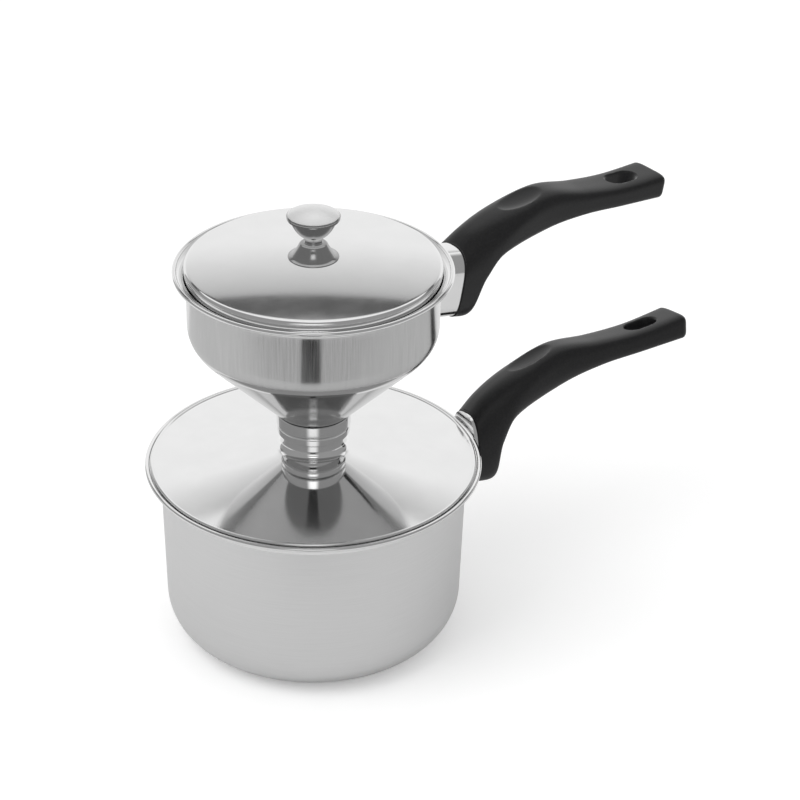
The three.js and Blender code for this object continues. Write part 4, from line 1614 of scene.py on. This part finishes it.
@dataclass(frozen=True)
class Studio:
    """Floor, light and camera of the photograph's set."""

    eye: tuple[float, float, float] = (-469.7, -1038.5, 784.9)
    target: tuple[float, float, float] = (40.24, -20.15, 136.35)
    lens: float = 113.2
    sensor: float = 36.0
    roll: float = math.radians(1.07)
    table: float = 2500.0
    table_front: float = 300.0  # from the pot's axis towards the camera
    table_colour: str = "#f7f7f7"
    table_mirrored: str = "#e4e4e4"  # its colour as polished steel shows it
    table_roughness: float = 0.9
    table_glow: float = 0.2  # only towards the camera
    card_back: float = 300.0  # from the pot's axis away from the camera
    card_top: float = 437.0
    card_width: float = 660.0
    card_glow: tuple[float, float] = (1.02, 0.54)  # at its foot and at its top
    card_fade: float = 0.78  # share of its height from which it grows darker
    room: float = 0.34  # brightness of the room where it has no patch
    fill: float = 0.85
    key_power: float = 6.0
    key_size: float = 900.0
    key_place: tuple[float, float, float] = (500.0, -700.0, 1200.0)  # towards the camera, to its right, up
    key_aim: float = 100.0  # height on the pot's axis

    @property
    def towards(self) -> Vector:
        """Level direction from the object to the camera."""
        way = Vector(self.eye) - Vector(self.target)
        return Vector((way.x, way.y, 0)).normalized()

    @property
    def aside(self) -> Vector:
        """Level direction to the camera's right."""
        return Vector((0, 0, 1)).cross(self.towards)

    def camera(self) -> None:
        """Sets the camera up at the photograph's viewing angle."""
        data = bpy.data.cameras.new("camera")
        data.sensor_fit = "HORIZONTAL"
        data.sensor_width = self.sensor
        data.lens = self.lens
        camera = bpy.data.objects.new("camera", data)
        look = (Vector(self.target) - Vector(self.eye)).to_track_quat("-Z", "Y").to_matrix().to_4x4()
        spot = Matrix.Translation(Vector(self.eye) * MM)
        camera.matrix_world = spot @ look @ Matrix.Rotation(self.roll, 4, "Z")
        bpy.context.scene.collection.objects.link(camera)
        bpy.context.scene.camera = camera

    def floor(self) -> None:
        """Makes the pale table that the pot stands on."""
        bm = bmesh.new()
        bmesh.ops.create_grid(bm, x_segments=1, y_segments=1, size=self.table * MM)
        turn = Matrix.Rotation(math.atan2(self.aside.y, self.aside.x), 4, "Z")
        back = Matrix.Translation((0, (self.table - self.table_front) * MM, 0))
        bmesh.ops.transform(bm, matrix=turn @ back, verts=bm.verts)
        floor = mesh_object("floor", bm)
        material, tree, shader = new_material("matt_white_table")
        path = add_node(tree, "LightPath").outputs
        glow = {"Value": path["Is Camera Ray"], "To Min": 0.0, "To Max": self.table_glow}
        plain, mirrored = linear(self.table_colour)[0], linear(self.table_mirrored)[0]
        tone = {"Value": path["Is Glossy Ray"], "To Min": plain, "To Max": mirrored}
        tree.links.new(add_node(tree, "MapRange", tone).outputs[0], shader.inputs["Base Color"])
        shader.inputs["Roughness"].default_value = self.table_roughness
        light_up(tree, shader, add_node(tree, "MapRange", glow).outputs[0])
        floor.data.materials.append(material)

    def card(self) -> None:
        """Stands the white card behind the set, which only shows in polished steel."""
        bm = bmesh.new()
        bmesh.ops.create_grid(bm, x_segments=1, y_segments=1, size=0.5)
        upright = Matrix((self.aside, (0, 0, 1), self.towards)).transposed().to_4x4()
        spot = Matrix.Translation((-self.towards * self.card_back + Vector((0, 0, self.card_top / 2))) * MM)
        spread = Matrix.Diagonal((self.card_width * MM, self.card_top * MM, 1, 1))
        bmesh.ops.transform(bm, matrix=spot @ upright @ spread, verts=bm.verts)
        card = mesh_object("card", bm)
        card.visible_camera = card.visible_diffuse = card.visible_shadow = card.visible_transmission = False
        material, tree, shader = new_material("white_card_lit_from_below")
        place = add_node(tree, "TexCoord").outputs["Object"]
        height = add_node(tree, "SeparateXYZ", {0: place}).outputs["Z"]
        fade = {"Value": height, "To Min": self.card_glow[0], "To Max": self.card_glow[1]}
        fade |= {"From Min": self.card_fade * self.card_top * MM, "From Max": self.card_top * MM}
        shader.inputs["Base Color"].default_value = BLACK
        light_up(tree, shader, add_node(tree, "MapRange", fade).outputs[0])
        card.data.materials.append(material)

    def world(self) -> None:
        """Sets the white background and the room that polished steel mirrors."""
        world = bpy.data.worlds.new("studio")
        bpy.context.scene.world = world
        world.use_nodes = True
        tree = world.node_tree
        tree.nodes.clear()
        way = add_node(tree, "TexCoord").outputs["Generated"]
        front = add_node(tree, "VectorMath", {0: way, 1: self.towards}, operation="DOT_PRODUCT")
        side = add_node(tree, "VectorMath", {0: way, 1: self.aside}, operation="DOT_PRODUCT")
        parts = {0: side.outputs["Value"], 1: front.outputs["Value"]}
        azimuth = add_node(tree, "Math", parts, operation="ARCTAN2").outputs[0]
        azimuth = add_node(tree, "Math", {0: azimuth}, operation="ABSOLUTE").outputs[0]
        up = add_node(tree, "SeparateXYZ", {0: way}).outputs["Z"]
        height = add_node(tree, "Math", {0: up}, operation="ARCSINE").outputs[0]

        room: Any = self.room
        for patch in ROOM:
            share: Any = 1.0
            edges = [(azimuth, patch.sides), *[(height, edge) for edge in patch.heights]]
            for angle, edge in edges:
                span = {"Value": angle, "From Min": math.radians(edge[0]), "From Max": math.radians(edge[1])}
                part = add_node(tree, "MapRange", span, interpolation_type="SMOOTHSTEP").outputs[0]
                share = add_node(tree, "Math", {0: share, 1: part}, operation="MULTIPLY").outputs[0]
            laid = {"Value": share, "To Min": room, "To Max": patch.level}
            room = add_node(tree, "MapRange", laid).outputs[0]
        path = add_node(tree, "LightPath").outputs
        mirrored = {"Value": path["Is Glossy Ray"], "To Min": self.fill, "To Max": room}
        lit = add_node(tree, "MapRange", mirrored).outputs[0]
        rays = {0: path["Is Camera Ray"], 1: path["Is Transmission Ray"]}
        seen = add_node(tree, "Math", rays, operation="MAXIMUM").outputs[0]
        shown = add_node(tree, "MapRange", {"Value": seen, "To Min": lit, "To Max": 1.0}).outputs[0]
        sky = add_node(tree, "Background", {"Color": WHITE, "Strength": shown})
        add_node(tree, "OutputWorld", {"Surface": sky.outputs[0]})

    def lamp(self) -> None:
        """Hangs one large soft lamp over the left of the set."""
        data = bpy.data.lights.new("key_lamp", "AREA")
        data.shape = "SQUARE"
        data.size = self.key_size * MM
        data.energy = self.key_power
        lamp = bpy.data.objects.new("key_lamp", data)
        near, right, up = self.key_place
        spot = (self.towards * near + self.aside * right + Vector((0, 0, up))) * MM
        aim = (Vector((0, 0, self.key_aim * MM)) - spot).to_track_quat("-Z", "Y").to_matrix().to_4x4()
        lamp.matrix_world = Matrix.Translation(spot) @ aim
        lamp.visible_glossy = False
        bpy.context.scene.collection.objects.link(lamp)

    def build(self) -> None:
        """Sets up camera, floor, card, world and lamp, and plain colours."""
        self.camera()
        self.floor()
        self.card()
        self.world()
        self.lamp()
        bpy.context.scene.view_settings.view_transform = "Standard"


def main() -> None:
    """Builds the studio and the steamer's pieces round the solids."""
    logging.basicConfig(level=logging.INFO, format="%(name)s: %(message)s")
    Studio().build()
    pot, pan = Pot(), Pan()
    pot.build()
    SteamCover().build()
    CouplingCollar().build()
    pan.build()
    SteamPlate().build()
    Lid().build()
    pot_place = Place(pot.rim.radius + 1.6, pot.rim.height + 8.0, tilt=-2.1, roll=-12.4, azimuth=0.0)
    pan_place = Place(pan.rim.radius + 17.4, pan.rim.height - 10.5, tilt=-10.7, roll=0.0, azimuth=9.8)
    Handle("pot", Body.POT, pot.outside, pot_place, mirrored=True).build()
    # The cover shows no image of the handle above it, so mirrors leave that handle out
    Handle("pan", Body.PAN, pan.outside, pan_place, mirrored=False).build()


if __name__ == "__main__":
    main()
